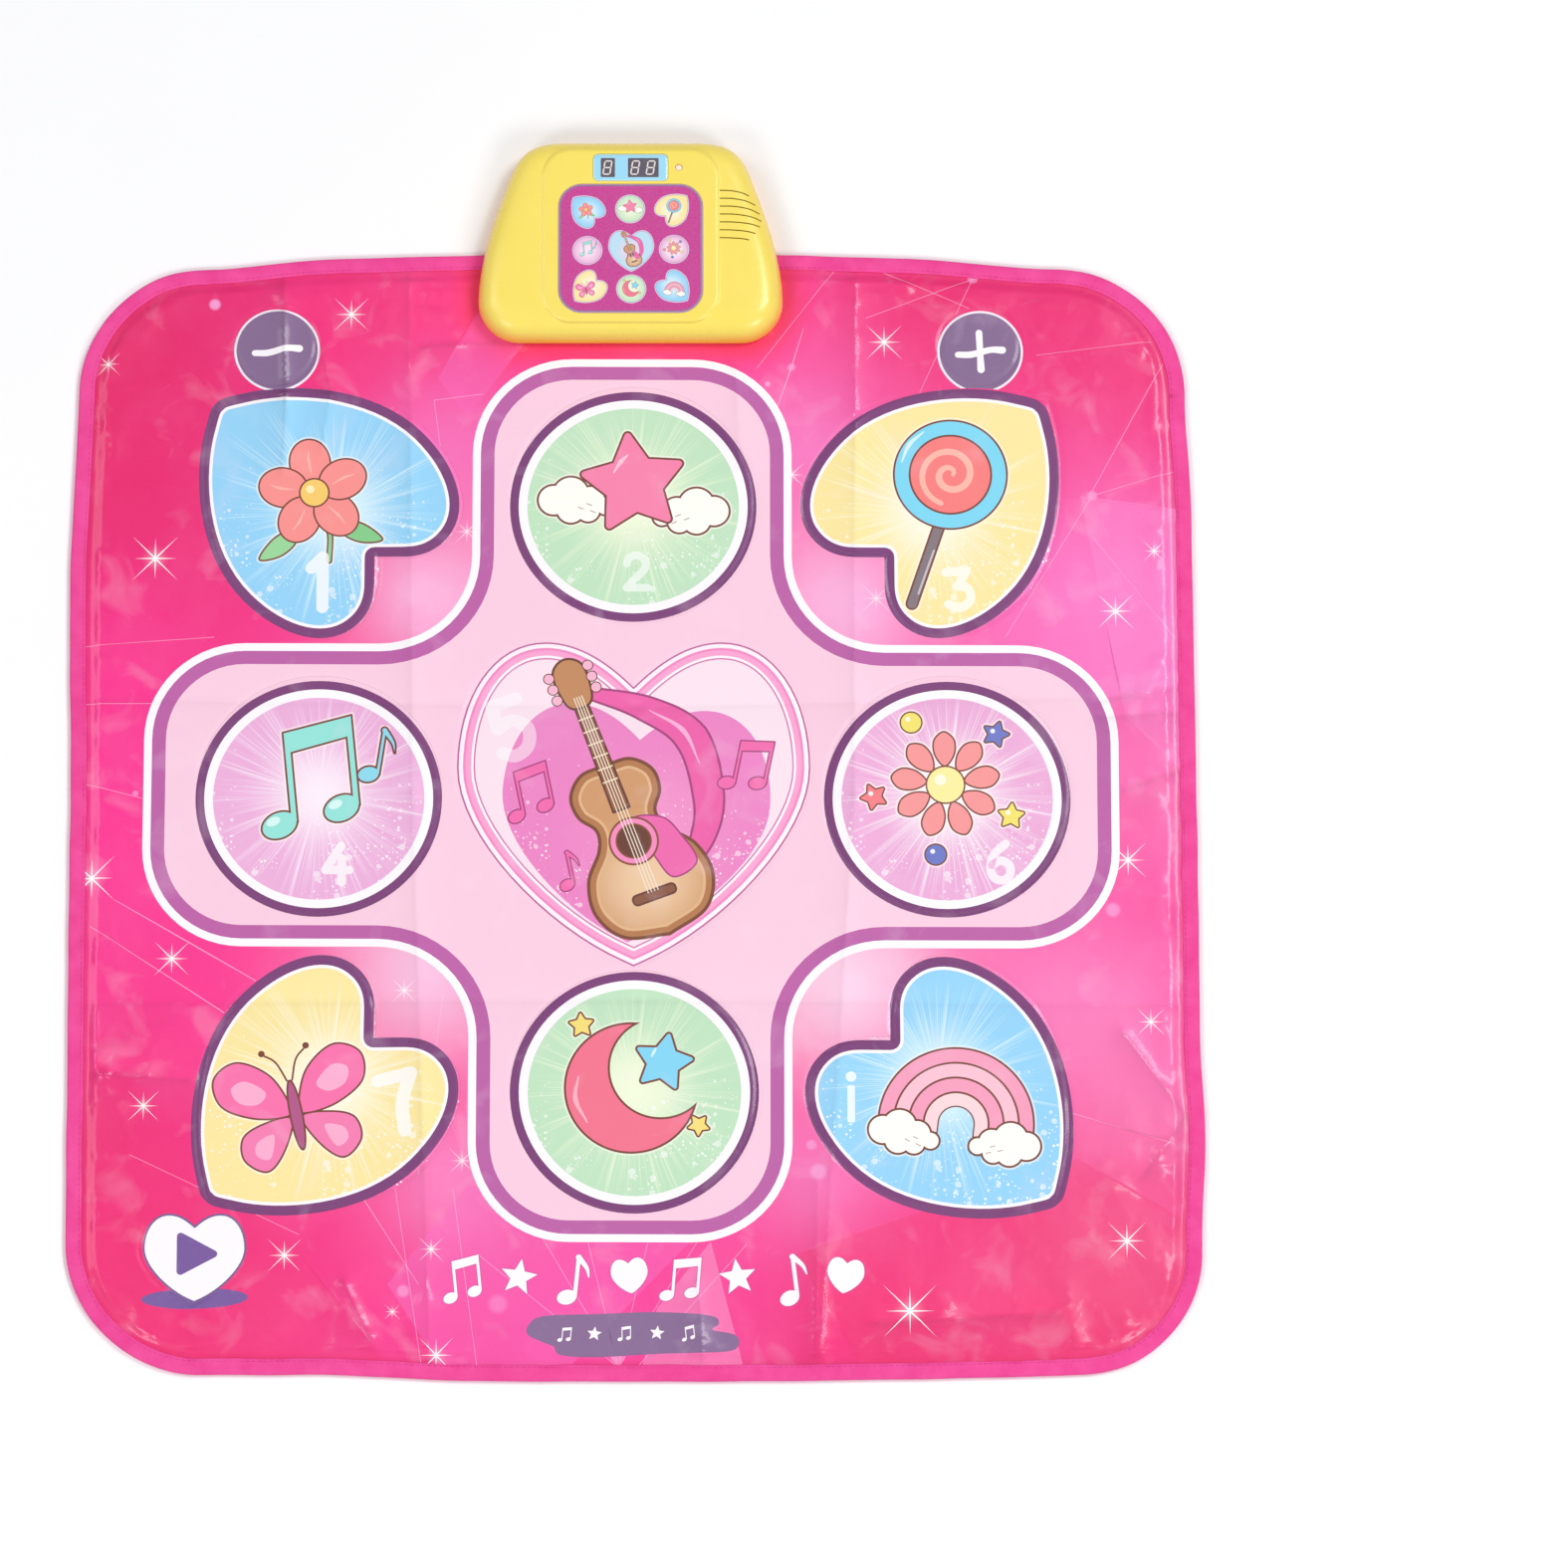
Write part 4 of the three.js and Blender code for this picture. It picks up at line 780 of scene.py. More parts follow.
def sunburst(tree, local):
    """Thin straight rays round a middle, each with its own length, and a glow at the middle."""
    flat = node(tree, "ShaderNodeVectorMath", {0: local, 1: (1.0, 1.0, 0.0)}, operation="MULTIPLY").outputs[0]
    far = node(tree, "ShaderNodeVectorMath", {0: flat}, operation="LENGTH").outputs["Value"]
    way = node(tree, "ShaderNodeVectorMath", {0: flat}, operation="NORMALIZE").outputs[0]
    spokes = between(tree, noise(tree, way, 42.0, 4.0, 0.9), 0.5, 0.57)
    reach = between(tree, noise(tree, way, 11.0, 2.0), 0.35, 0.65, 0.052, 0.11)
    fade = between(tree, worked_out(tree, "DIVIDE", far, reach), 0.62, 1.0, 0.8, 0.0)
    glow = between(tree, far, 0.002, 0.04, 0.8, 0.0)
    return worked_out(tree, "MAXIMUM", product(tree, spokes, fade), glow)


def bokeh(tree, local, scale, largest, strength):
    """Soft round specks of many sizes, most of them below the middle."""
    cells = node(tree, "ShaderNodeTexVoronoi", {"Vector": local, "Scale": scale}, feature="F1")
    lot = node(tree, "ShaderNodeSeparateColor", {0: cells.outputs["Color"]}).outputs[0]
    crowd = between(tree, noise(tree, local, 26.0, 2.0), 0.38, 0.54)
    low = between(tree, node(tree, "ShaderNodeSeparateXYZ", {0: local}).outputs[1], -0.055, 0.06, 1.0, 0.1)
    size = product(tree, lot, largest, crowd, low)
    past = worked_out(tree, "SUBTRACT", cells.outputs["Distance"], size)
    return product(tree, between(tree, past, -0.05, 0.03, 1.0, 0.0), strength)


def printed_film(name, centre=None, ray_tint="#ffffff", rays=0.0, specks=0.0):
    """Glossy vinyl with a print: ink from the mesh, rays and specks on bare ground, and soft dents."""
    material, tree, shader = finish(name, roughness=0.36)
    place = own_place(tree)
    color, bare = print_of(tree)
    if centre is not None:
        x, y, _ = placed([*centre, 0.0])
        local = node(tree, "ShaderNodeMapping", {"Vector": place, "Location": (-x, -y, 0.0)}).outputs[0]
        if rays:
            color = blended(tree, product(tree, sunburst(tree, local), bare, rays), color, ray_tint)
        if specks:
            large, small = bokeh(tree, local, 120.0, 0.42, 0.55), bokeh(tree, local, 330.0, 0.4, 0.9)
            dots = product(tree, worked_out(tree, "MAXIMUM", large, small), bare, specks)
            color = blended(tree, dots, color, "#ffffff")
    else:
        glow = between(tree, noise(tree, place, 9.0, 4.0, 0.6), 0.45, 0.75, 0.0, 0.1)
        color = blended(tree, product(tree, glow, bare), color, "#ff9fdc")
        shade = between(tree, noise(tree, place, 6.0, 4.0, 0.65), 0.35, 0.7, 0.12, 0.0)
        color = blended(tree, product(tree, shade, bare), color, "#d3145c")
    # painted reflection: lighter patches where the wrinkled film would catch the light
    gleam = between(tree, noise(tree, place, 26.0, 3.0, 0.5, 0.6), 0.56, 0.74, 0.0, 0.13)
    color = blended(tree, gleam, color, "#fbe3f6")
    feed(tree, shader, {
        "Base Color": blended(tree, patchy(tree, place, 1800.0, 2.0, 0.0, 0.02), color, "#ffd9ec"),
        "Roughness": patchy(tree, place, 14.0, 3.0, 0.32, 0.44),
        "Specular IOR Level": 0.35, "Coat Weight": 0.3, "Coat Roughness": 0.1})
    raised(tree, shader, noise(tree, place, 22.0, 3.0, 0.5, 0.4), 0.5, 0.0016)
    raised(tree, shader, noise(tree, place, 120.0, 2.0), 0.25, 0.0003)
    return material


def moulded(name, color, roughness=0.3, grain=0.15, variation=0.06):
    """Injection-moulded plastic: a fine spark-eroded grain, slight sink waves and uneven gloss."""
    material, tree, shader = finish(name, color, roughness)
    place = own_place(tree)
    feed(tree, shader, {
        "Base Color": blended(tree, patchy(tree, place, 18.0, 3.0, 0.0, variation), color, "#ffffff"),
        "Roughness": patchy(tree, place, 45.0, 3.0, roughness - 0.05, roughness + 0.08)})
    raised(tree, shader, noise(tree, place, 2400.0, 2.0), grain, 0.00006)
    raised(tree, shader, noise(tree, place, 26.0, 1.0), 0.2, 0.0004)
    return material


def yellow_plastic(name):
    """The box's yellow plastic, which looks deeper near its lower edge, where it catches the mat's red."""
    material = moulded(name, "#fde566", 0.27, variation=0.02)
    tree = material.node_tree
    shader = tree.nodes["Principled BSDF"]
    color = shader.inputs["Base Color"].links[0].from_socket
    height = node(tree, "ShaderNodeSeparateXYZ", {0: own_place(tree)}).outputs[2]
    # painted reflection of the mat's red, deeper towards the lower edge
    low = between(tree, height, 0.006, 0.026, 0.95, 0.0)
    feed(tree, shader, {"Base Color": blended(tree, low, color, "#ffb41e")})
    return material


def metal(name, color, roughness=0.3, scale=(40.0, 900.0, 900.0)):
    """Bare metal with drawn or turned marks that run one way."""
    material, tree, shader = finish(name, color, roughness, 1.0)
    place = node(tree, "ShaderNodeMapping", {"Vector": own_place(tree), "Scale": scale}).outputs[0]
    marks = noise(tree, place, 1.0, 3.0)
    feed(tree, shader, {"Roughness": between(tree, marks, 0.3, 0.7, roughness - 0.08, roughness + 0.15)})
    raised(tree, shader, marks, 0.2, 0.00005)
    return material


def woven(name, color, light, pitch=1100.0, roughness=0.75):
    """Cloth tape: crossed threads a little under a millimetre apart, with a faint sheen."""
    material, tree, shader = finish(name, color, roughness)
    place = own_place(tree)
    wave = {"Vector": place, "Scale": pitch / 6.3, "Distortion": 1.2}
    warp, weft = (node(tree, "ShaderNodeTexWave", wave, bands_direction=way).outputs["Fac"] for way in "XY")
    mottle = patchy(tree, place, 60.0, 4.0, 0.0, 0.55)
    feed(tree, shader, {"Base Color": blended(tree, mottle, color, light), "Sheen Weight": 0.1})
    raised(tree, shader, product(tree, warp, weft), 0.35, 0.0002)
    raised(tree, shader, noise(tree, place, 90.0, 3.0), 0.3, 0.0006)
    return material


def board_green(name):
    """Circuit board: green solder mask over copper tracks, which show as lighter bands."""
    material, tree, shader = finish(name, "#1f6b3c", 0.35)
    place = own_place(tree)
    cells = node(tree, "ShaderNodeTexVoronoi", {"Vector": place, "Scale": 260.0, "Randomness": 0.6},
                 feature="F1", distance="CHEBYCHEV")
    tracks = between(tree, cells.outputs["Distance"], 0.3, 0.36)
    feed(tree, shader, {"Base Color": blended(tree, tracks, "#2b8650", "#165a30")})
    raised(tree, shader, tracks, 0.3, 0.0001)
    return material


def two_tone(name, color, other, axis, low, high, roughness=0.35):
    """A colour that changes to another between two places on one axis of the frame, in metres."""
    material, tree, shader = finish(name, color, roughness)
    place = own_place(tree)
    part = node(tree, "ShaderNodeSeparateXYZ", {0: place}).outputs[axis]
    both = blended(tree, between(tree, part, low, high), color, other)
    haze = patchy(tree, place, 300.0, to_high=0.08)
    feed(tree, shader, {"Base Color": blended(tree, haze, both, "#ffffff")})
    raised(tree, shader, noise(tree, place, 2000.0), 0.1, 0.00005)
    return material


# Motifs, each about 100 mm wide round its own middle


def flower():
    petals = [moved(oval(27, 0, 21, 17.5), turn=pi / 2 + k * tau / 5) for k in range(5)]
    veins = [moved(stroke([(17, 0), (29, 0.8), (38, -0.5)], [0.6, 2.4, 0.6]), turn=pi / 2 + k * tau / 5)
             for k in range(5)]
    leaf = smooth([(20, -28), (38, -34), (52, -50), (34, -50), (19, -40)])
    stem = stroke([(3, -20), (8, -38), (4, -62)], 4.2)
    art = lined(stem, "#86cf8c") + lined(leaf, "#86cf8c")
    art += lined(moved(leaf * [-1, 1], -3, -2), "#9bd99c")
    for petal in petals:
        art += lined(petal, "#fb9490")
    art += [layer(veins, "#fdb5a8")]
    art += lined(circle(0, 0, 12.5, 48), "#fbcf6c")
    art += [layer([circle(-3, 3.5, 3.6, 24)], "#fff0b8")]
    return art


def gleam(points, width, tint):
    """A tapering stroke of a lighter ink."""
    return [layer([stroke(points, [1, width, 1])], tint)]


def cloud(x, y, size, mirror=1):
    puffs = [(0, 0, 13), (14, 5, 15), (30, 0, 12), (42, -5, 8), (14, -8, 12), (28, -9, 10)]
    loops = all_moved([circle(mirror * px, py, r, 40) for px, py, r in puffs], x, y, size)
    dashes = [stroke([(mirror * px, py), (mirror * (px + 4), py - 1.5)], 0.9)
              for px, py in [(20, -6), (27, -3), (30, -9)]]
    return [*lined(loops, "#fffdf6"), layer(all_moved(dashes, x, y, size), "#b9a89e")]


def round_star(x, y, outer, turn=pi / 2, soft=3.0):
    sharp = star(x, y, outer - soft, (outer - soft) * 0.52, 5, turn)
    return grown(sharp, soft)


def star_in_clouds():
    art = cloud(-56, -8, 0.86) + cloud(56, -16, 0.86, -1)
    art += lined(round_star(0, 4, 38, pi / 2 + 0.12), "#f884ad")
    return art + gleam([(-14, 12), (-9, 20), (-4, 25)], 3.2, "#fdc3d7")


def lollipop():
    stick = stroke([(-6, -14), (-30, -84)], 8.5, curved=False)
    turns = np.linspace(0, 3.4 * pi, 40)
    spiral = np.c_[np.cos(turns), np.sin(turns)] * (2 + turns * 2.05)[:, None]
    art = lined(stick, "#85787f")
    art += [layer([stroke([(-13, -42), (-25, -76)], 1.6, curved=False)], "#c9bfc6")]
    art += lined(circle(0, 18, 43, 80), "#7fd9f4") + lined(circle(0, 18, 31, 64), "#f9807f")
    art += [layer([moved(stroke(spiral, [3, 5.2, 5.2, 4]), 0, 18)], "#fdb9a9")]
    return art + gleam([(-37, 28), (-31, 42), (-20, 52)], 3.4, "#d4f5fd")


def note_loops(x=0.0, y=0.0, size=1.0, turn=0.0):
    """Two notes under one beam, as loops that are printed as one shape."""
    heads = [oval(-27, -30, 13, 9.5, 0.35), oval(17, -22, 13, 9.5, 0.35)]
    stems = [[(-19, -29), (-14, -29), (-14, 36), (-19, 32)], [(25, -21), (30, -21), (30, 44), (25, 40)]]
    beam = [(-19, 20), (30, 29), (30, 44), (-19, 36)]
    return all_moved([*heads, *stems, beam], x, y, size, turn)


def single_note(x=0.0, y=0.0, size=1.0, turn=0.0):
    loops = [oval(-5, -18, 10, 7.5, 0.35), [(1, -17), (5, -17), (5, 26), (1, 26)],
             stroke([(3, 24), (12, 14), (15, 5)], [6, 4, 1.5])]
    return all_moved(loops, x, y, size, turn)


def notes():
    size, turn = 1.15, 0.1
    glints = [oval(-31, -27, 5, 3, 0.35), oval(13, -19, 5, 3, 0.35)]
    art = lined(note_loops(0, 0, size, turn), "#97e6dc", width=1.6)
    art += [layer(all_moved(glints, 0, 0, size, turn), "#d9f9f4")]
    return art + lined(single_note(50, 20, 0.9, -0.15), "#8fdcf0", width=1.6)


def petal_wheel():
    petal = smooth([(15, 0), (24, 7.5), (36, 8), (43, 0), (36, -8), (24, -7.5)])
    art = []
    for k in range(9):
        art += lined(moved(petal, turn=k * tau / 9 + 0.2), "#f89a9a", width=1.3)
    art += lined(circle(0, 0, 15, 48), "#fdf0a0", width=1.3)
    art += [layer([circle(-4, 4, 4.5, 24)], "#fffbe0")]
    for k, tint in enumerate(["#6f7cc8", "#f5e670", "#f37f86", "#6f7cc8", "#f5e670"]):
        x, y = 57 * cos(k * tau / 5 + 0.8), 57 * sin(k * tau / 5 + 0.8)
        shape = circle(x, y, 8.5, 32) if k % 2 else round_star(x, y, 11, k, 1.2)
        art += lined(shape, tint, width=1.2)
        art += [layer([circle(x - 2.4, y + 2.6, 1.9, 16)], "#ffffff", 0.85)]
    return art


def butterfly():
    upper = smooth([(3, 4), (14, 32), (38, 48), (58, 38), (56, 16), (34, 2), (10, -2)])
    lower = smooth([(4, -4), (26, -4), (44, -12), (46, -30), (30, -42), (14, -28)])
    spot = smooth([(20, 20), (34, 32), (46, 28), (42, 16), (28, 12)])
    low_spot = smooth([(20, -14), (34, -18), (36, -28), (26, -32)])
    art = []
    for side in (1, -1):
        flip = np.array([side, 1])
        art += lined(lower * flip, "#f880b4") + lined(upper * flip, "#fb74ae")
        art += [layer([spot * flip, low_spot * flip], "#fdb0d2")]
        art += [layer([stroke([(2 * side, 26), (8 * side, 42), (17 * side, 50)], 1.5),
                       circle(17.5 * side, 51, 2.6, 20)], line_brown)]
    art += lined(oval(0, -2, 4.8, 28, 0), "#b4588a")
    return art


def moon_and_star():
    bite = circle(20, 14, 36, 64)
    moon = [layer([circle(0, 0, 46, 80)], line_brown, without=[grown(bite, -1.5)]),
            grown_layer(circle(0, 0, 46, 80), -1.5, "#f4758f", without=[bite])]
    art = moon + gleam([(-36, 8), (-38, -8), (-30, -24)], 3.4, "#fbb3c2")
    art += lined(round_star(22, 18, 21, pi / 2 - 0.2, 2.0), "#84d7f4")
    art += gleam([(14, 22), (17, 28)], 2.2, "#d5f4fd")
    art += lined(round_star(-34, 44, 9, 0.4, 1.0), "#f7e07a", width=1.2)
    art += lined(round_star(46, -26, 8, 0.9, 1.0), "#f7e07a", width=1.2)
    return art


def rainbow():
    art = []
    for radius, tint in ((54, "#f7a1bf"), (43.5, "#fbc4d4"), (33, "#f7a1bf"), (22.5, "#fbd9dd")):
        arch = np.concatenate([circle(0, -16, radius, 96)[:49], [(-radius, -24), (radius, -24)]])
        art += lined(arch, tint, width=1.4)
    mouth = np.concatenate([circle(0, -16, 12, 96)[:49], [(-12, -40), (12, -40)]])
    art = [{**one, "out": [*one["out"], mouth]} for one in art]
    below = [(-20, -60), (20, -60), (20, -24), (-20, -24)]
    art += [grown_layer(mouth, 1.0, line_brown, without=[mouth, below])]
    art += cloud(-50, -26, 0.8) + cloud(50, -26, 0.8, -1)
    return art


def guitar():
    """A round-hipped guitar that leans, with a ribbon behind it."""
    side = [(0, 52), (15, 51), (25, 41), (25, 28), (18, 17), (21, 5), (33, -10), (36, -30), (25, -48),
            (0, -55)]
    right = smooth(side, 10, closed=False)
    body = np.concatenate([right, (right * [-1, 1])[::-1][1:-1]])
    neck = np.array([(-5, 24), (5, 24), (4, 92), (-4, 92)], float)
    head = smooth([(-5, 90), (-9, 98), (-9, 114), (0, 120), (9, 114), (9, 98), (5, 90)])
    pegs = [circle(s * 12, 98 + 7 * k, 2.8, 20) for s in (-1, 1) for k in range(3)]
    frets = [[(-4.6, y), (4.6, y), (4.6, y + 1), (-4.6, y + 1)] for y in range(42, 90, 8)]
    strings = [stroke([(x, -28), (x * 0.8, 96)], 0.55, curved=False) for x in (-3, -1, 1, 3)]
    guard = smooth([(3, 16), (20, 12), (27, -2), (30, -20), (14, -24), (8, -8)])
    ribbon = stroke([(4, 98), (34, 76), (53, 50), (50, 14), (38, -8), (18, -24)], [6, 15, 20, 18, 14, 8], 10)
    glint = stroke([(36, 74), (50, 56), (52, 34)], [0.5, 3, 0.5])
    dark, rose = "#6b3f31", "#a8457f"
    art = lined(ribbon, "#ef62ab", rose, 1.4) + [layer([glint], "#fbb0d8")]
    art += lined(body, "#b67c50", "#7d4a33", 2.0) + [grown_layer(body, -4.4, "#e4b78b")]
    art += [grown_layer(body, -6.0, shaded((0, -20), "#efcba4", "#d29b6c", 4, 46))]
    art += lined(guard, "#f06bb0", rose, 1.0)
    art += lined(circle(0, 4, 14, 48), "#f78ec0", "#8a4f34", 1.2)
    art += lined(circle(0, 4, 10, 48), dark, "#8a4f34", 1.0)
    art += lined(rounded(0, -30, 26, 6, 2.5, 4), "#8a5840", dark, 1.2) + lined(neck, "#9c6547", dark, 1.4)
    art += [layer(frets, "#e9cfae")] + lined(head, "#c48a5e", dark, 1.4)
    art += [grown_layer(pegs, 0.6, dark), layer(pegs, "#f6b7cf"), layer(strings, "#f7ecd9")]
    return set_down(art, 6, -24, 1.38, 0.36)


def play_sign():
    return [grown_layer(np.array([(-11, -14), (15, 0), (-11, 14)], float), 3, "#7b5ba0")]


figure_strokes = {
    "1": [[(0.1, 0.78), (0.32, 1.0)], [(0.32, 1.0), (0.32, 0.0)]],
    "2": [[(0.02, 0.76), (0.1, 0.95), (0.36, 1.0), (0.56, 0.82), (0.5, 0.56), (0.24, 0.3), (0.02, 0.04)],
          [(0.02, 0.04), (0.62, 0.04)]],
    "3": [[(0.04, 0.97), (0.56, 0.97)], [(0.56, 0.97), (0.3, 0.58)],
          [(0.3, 0.58), (0.55, 0.5), (0.58, 0.2), (0.32, 0.02), (0.02, 0.14)]],
    "4": [[(0.44, 1.0), (0.02, 0.34)], [(0.02, 0.34), (0.66, 0.34)], [(0.46, 0.66), (0.46, 0.0)]],
    "5": [[(0.56, 0.97), (0.12, 0.97)], [(0.12, 0.97), (0.08, 0.56)],
          [(0.08, 0.56), (0.36, 0.62), (0.58, 0.4), (0.48, 0.1), (0.22, 0.0), (0.02, 0.12)]],
    "6": [[(0.46, 1.0), (0.16, 0.72), (0.05, 0.36), (0.14, 0.08), (0.36, 0.0), (0.56, 0.14), (0.56, 0.4),
           (0.34, 0.54), (0.1, 0.42)]],
    "7": [[(0.02, 0.96), (0.6, 0.96)], [(0.6, 0.96), (0.34, 0.5), (0.26, 0.0)]],
}


def figure(sign, pixel, height, turn=0.0, alpha=0.62, width=0.23):
    """A number in plain brush strokes, its middle at a pixel of the photograph, its height in mm."""
    x, y = on_mat([pixel])[0]
    shapes = [stroke((np.array(line) - [0.32, 0.5]) * height, width * height, 6, len(line) > 2)
              for line in figure_strokes[sign]]
    return [layer(all_moved(shapes, x, y, 1.0, turn), "#ffffff", alpha)]


# Print of the pads: inks at the middle, at the rim and in the rays; motif, its shift, size and turn

pad_plans = {
    "pad_1": ("#dcf5ff", "#96d5f9", "#e2f8ff", flower, (-16, 16), 0.94, 0.15),
    "pad_2": ("#f4fadc", "#c2e6c3", "#f2fbdc", star_in_clouds, (0, 12), 1.15, 0.0),
    "pad_3": ("#fff9de", "#fde9a2", "#fffcec", lollipop, (14, 12), 1.06, 0.0),
    "pad_4": ("#fde6f5", "#efb2dd", "#fff4ff", notes, (-4, 12), 1.0, 0.0),
    "pad_6": ("#fdf3fb", "#eeaeda", "#ffffff", petal_wheel, (-2, 8), 1.02, 0.0),
    "pad_7": ("#fff9de", "#fde9a2", "#fffcec", butterfly, (-26, -25), 1.02, 0.2),
    "pad_8": ("#dcf5ff", "#96d5f9", "#e2f8ff", rainbow, (16, -16), 1.14, -0.12),
    "pad_9": ("#f4fadc", "#c2e6c3", "#f2fbdc", moon_and_star, (-2, 2), 1.16, 0.0),
}

# The numbers: sign, place in the photograph, height, turn and strength

pad_numbers = {
    "pad_1": ("1", (324, 585), 42, 0.0, 0.8), "pad_2": ("2", (640, 575), 28, 0.0, 0.6),
    "pad_3": ("3", (963, 592), 32, 0.1, 0.7), "pad_4": ("4", (338, 868), 30, 0.0, 0.75),
    "pad_6": ("6", (1005, 866), 30, 0.0, 0.75), "pad_7": ("7", (403, 1107), 46, 0.25, 0.8),
}


def pad_middle(name):
    """Where a pad's rays start: a circle's middle, or the middle of a heart's box."""
    low, high = zones[name].min(0), zones[name].max(0)
    return (low + high) / 2


# How the print sits on the film beside its pad: shift, and size across and along

print_shifts = {
    "pad_2": ((-0.4, -2.5), (1.012, 0.983)), "pad_4": ((-0.4, -3.3), (1.004, 0.992)),
    "pad_6": ((-0.8, -4.0), (1.004, 0.992)), "pad_9": ((0.6, -1.6), (1.006, 1.0)),
}
print_heart_shares = [
    [(0, 0.037), (0.06, 0.066), (0.11, 0.091), (0.17, 0.12)],
    [(0.17, 0.12), (0.26, 0.163), (0.36, 0.186), (0.48, 0.186)],
    [(0.48, 0.186), (0.805, 0.186), (1, 0.015), (1, -0.196)],
    [(1, -0.196), (1, -0.478), (0.533, -0.72), (0.215, -0.813)],
    [(0.215, -0.813), (0.13, -0.838), (0.07, -0.86), (0.02, -0.86)],
]

# Each printed heart: which way it faces, where its notch is, and its half width and height there

print_hearts = {
    "pad_1": ((-1, 1), (-213.5, 213.8), (100.4, 203.2)), "pad_3": ((1, 1), (206.8, 213.4), (99.7, 202.6)),
    "pad_7": ((-1, -1), (-211.6, -193.7), (99.1, 207.9)), "pad_8": ((1, -1), (208.9, -195.8), (100.1, 207.9)),
}


def ringed(name):
    """The bands round a pad's picture: dark purple, a white line, then the ground."""
    if name in print_hearts:
        (side_x, side_y), notch, (half, height) = print_hearts[name]
        outline = heart(*notch, half, height, -atan2(-side_x, -side_y), shares=print_heart_shares)
        band, white = 8.0, 2.6
    else:
        shift, size = print_shifts[name]
        outline = (zones[name] - pad_middle(name)) * size + pad_middle(name) + shift
        band, white = 7.0, 7.0
    inner, outer = pad_plans[name][:2]
    ground = shaded(pad_middle(name), inner, outer)
    return [layer([outline], "#7c4078"), grown_layer(outline, -band, "#fffafd"),
            grown_layer(outline, -band - white, ground, bare=1.0)]


halo_least = 173.2


def pad_print(name):
    """Rings, a pale halo round the picture, the picture and the number."""
    motif, shift, size, turn = pad_plans[name][3:]
    picture = set_down(motif(), *(pad_middle(name) + shift), size, turn)
    drawn = [p for one in picture if one["color"] == line_brown for p in one["in"]]
    large = [p for p in drawn if signed_area(p) ** 2 > halo_least ** 2]
    bites = [p for one in picture for p in one["out"]]
    art = ringed(name) + [grown_layer(large, 1.5, "#fffdf2", 0.55, without=bites)] + picture
    if name in pad_numbers:
        art += figure(*pad_numbers[name])
    if name == "pad_8":
        x, y = on_mat([(855, 1105)])[0]
        art += [layer([rounded(x, y - 3, 6, 30, 1, 3), circle(x, y + 19, 4.2, 24)], "#ffffff", 0.75)]
    return art


def middle_heart_print():
    """The middle pad: bands, a deeper heart low in it, the number, the guitar and loose notes."""
    outline = zones["pad_5"]
    centre = pad_middle("pad_5")
    bands = [(2, "#c45f9f"), (-1.2, "#fff3fa"), (-4.6, "#f48cc4"), (-6.6, "#ffa5d3"), (-11, "#fff6fb"),
             (-13, "#d577ae"), (-14.2, shaded(centre, "#fff3f8", "#fce3ef"))]
    art = [grown_layer(outline, distance, look) for distance, look in bands]
    low = heart(5, 56, 107, 194, -0.06)
    art += [layer([low], shaded(np.array([18.0, -20.0]), "#f396cc", "#ee86c6", 10, 85), bare=1.0)]
    art += figure("5", (514, 731), 46, 0.35, 0.4)
    art += set_down(guitar(), *(centre + [-4, -12]))
    for loops, inset in ((note_loops(-82, 12, 0.55, 0.2), 0.5), (note_loops(92, 34, 0.55, -0.2), 0.5),
                         (single_note(-52, -52, 0.62, 0.2), 0.4)):
        art += [grown_layer(loops, 0.7, "#a8457f"), grown_layer(loops, -inset, "#f46db0")]
    return art


key_pixels = {"key_minus": (278.4, 351.9), "key_plus": (984.5, 353.5)}
key_print_radius = 34.7


def key_print(name):
    """A dark disc with a pale rim and a minus or a plus in uneven strokes."""
    x, y = on_mat([key_pixels[name]])[0]
    art = [layer([circle(x, y, key_print_radius, 72)], "#f7eef8"),
           layer([circle(x, y, key_print_radius - 1.9, 72)], "#876a92")]
    dash = stroke([(x - 18, y - 2.4), (x - 7, y - 2.2), (x + 8, y + 1.6), (x + 18, y + 1.4)], [5, 5.5, 5, 6])
    post = stroke([(x + 0.6, y - 15), (x, y - 2), (x - 0.8, y + 16)], [6, 5, 5.5])
    return art + [layer([dash] if name == "key_minus" else [dash, post], "#fffafe")]


def start_print():
    """The start key's heart with its play sign, and the dark oval beside it."""
    x, y = middle("key_start_face")
    outline = moved(zones["key_start"] - [x, y], x + 2.0, y + 0.5, 0.985)
    oval_x, oval_y = on_mat([(195.5, 1304.5)])[0]
    return [layer([oval(oval_x, oval_y, 42, 8.4, 0.03)], "#7b5ba0"), grown_layer(outline, 0.6, "#7c5f97"),
            grown_layer(outline, -1.1, "#fffafd"), *set_down(play_sign(), x + 2, y + 4)]
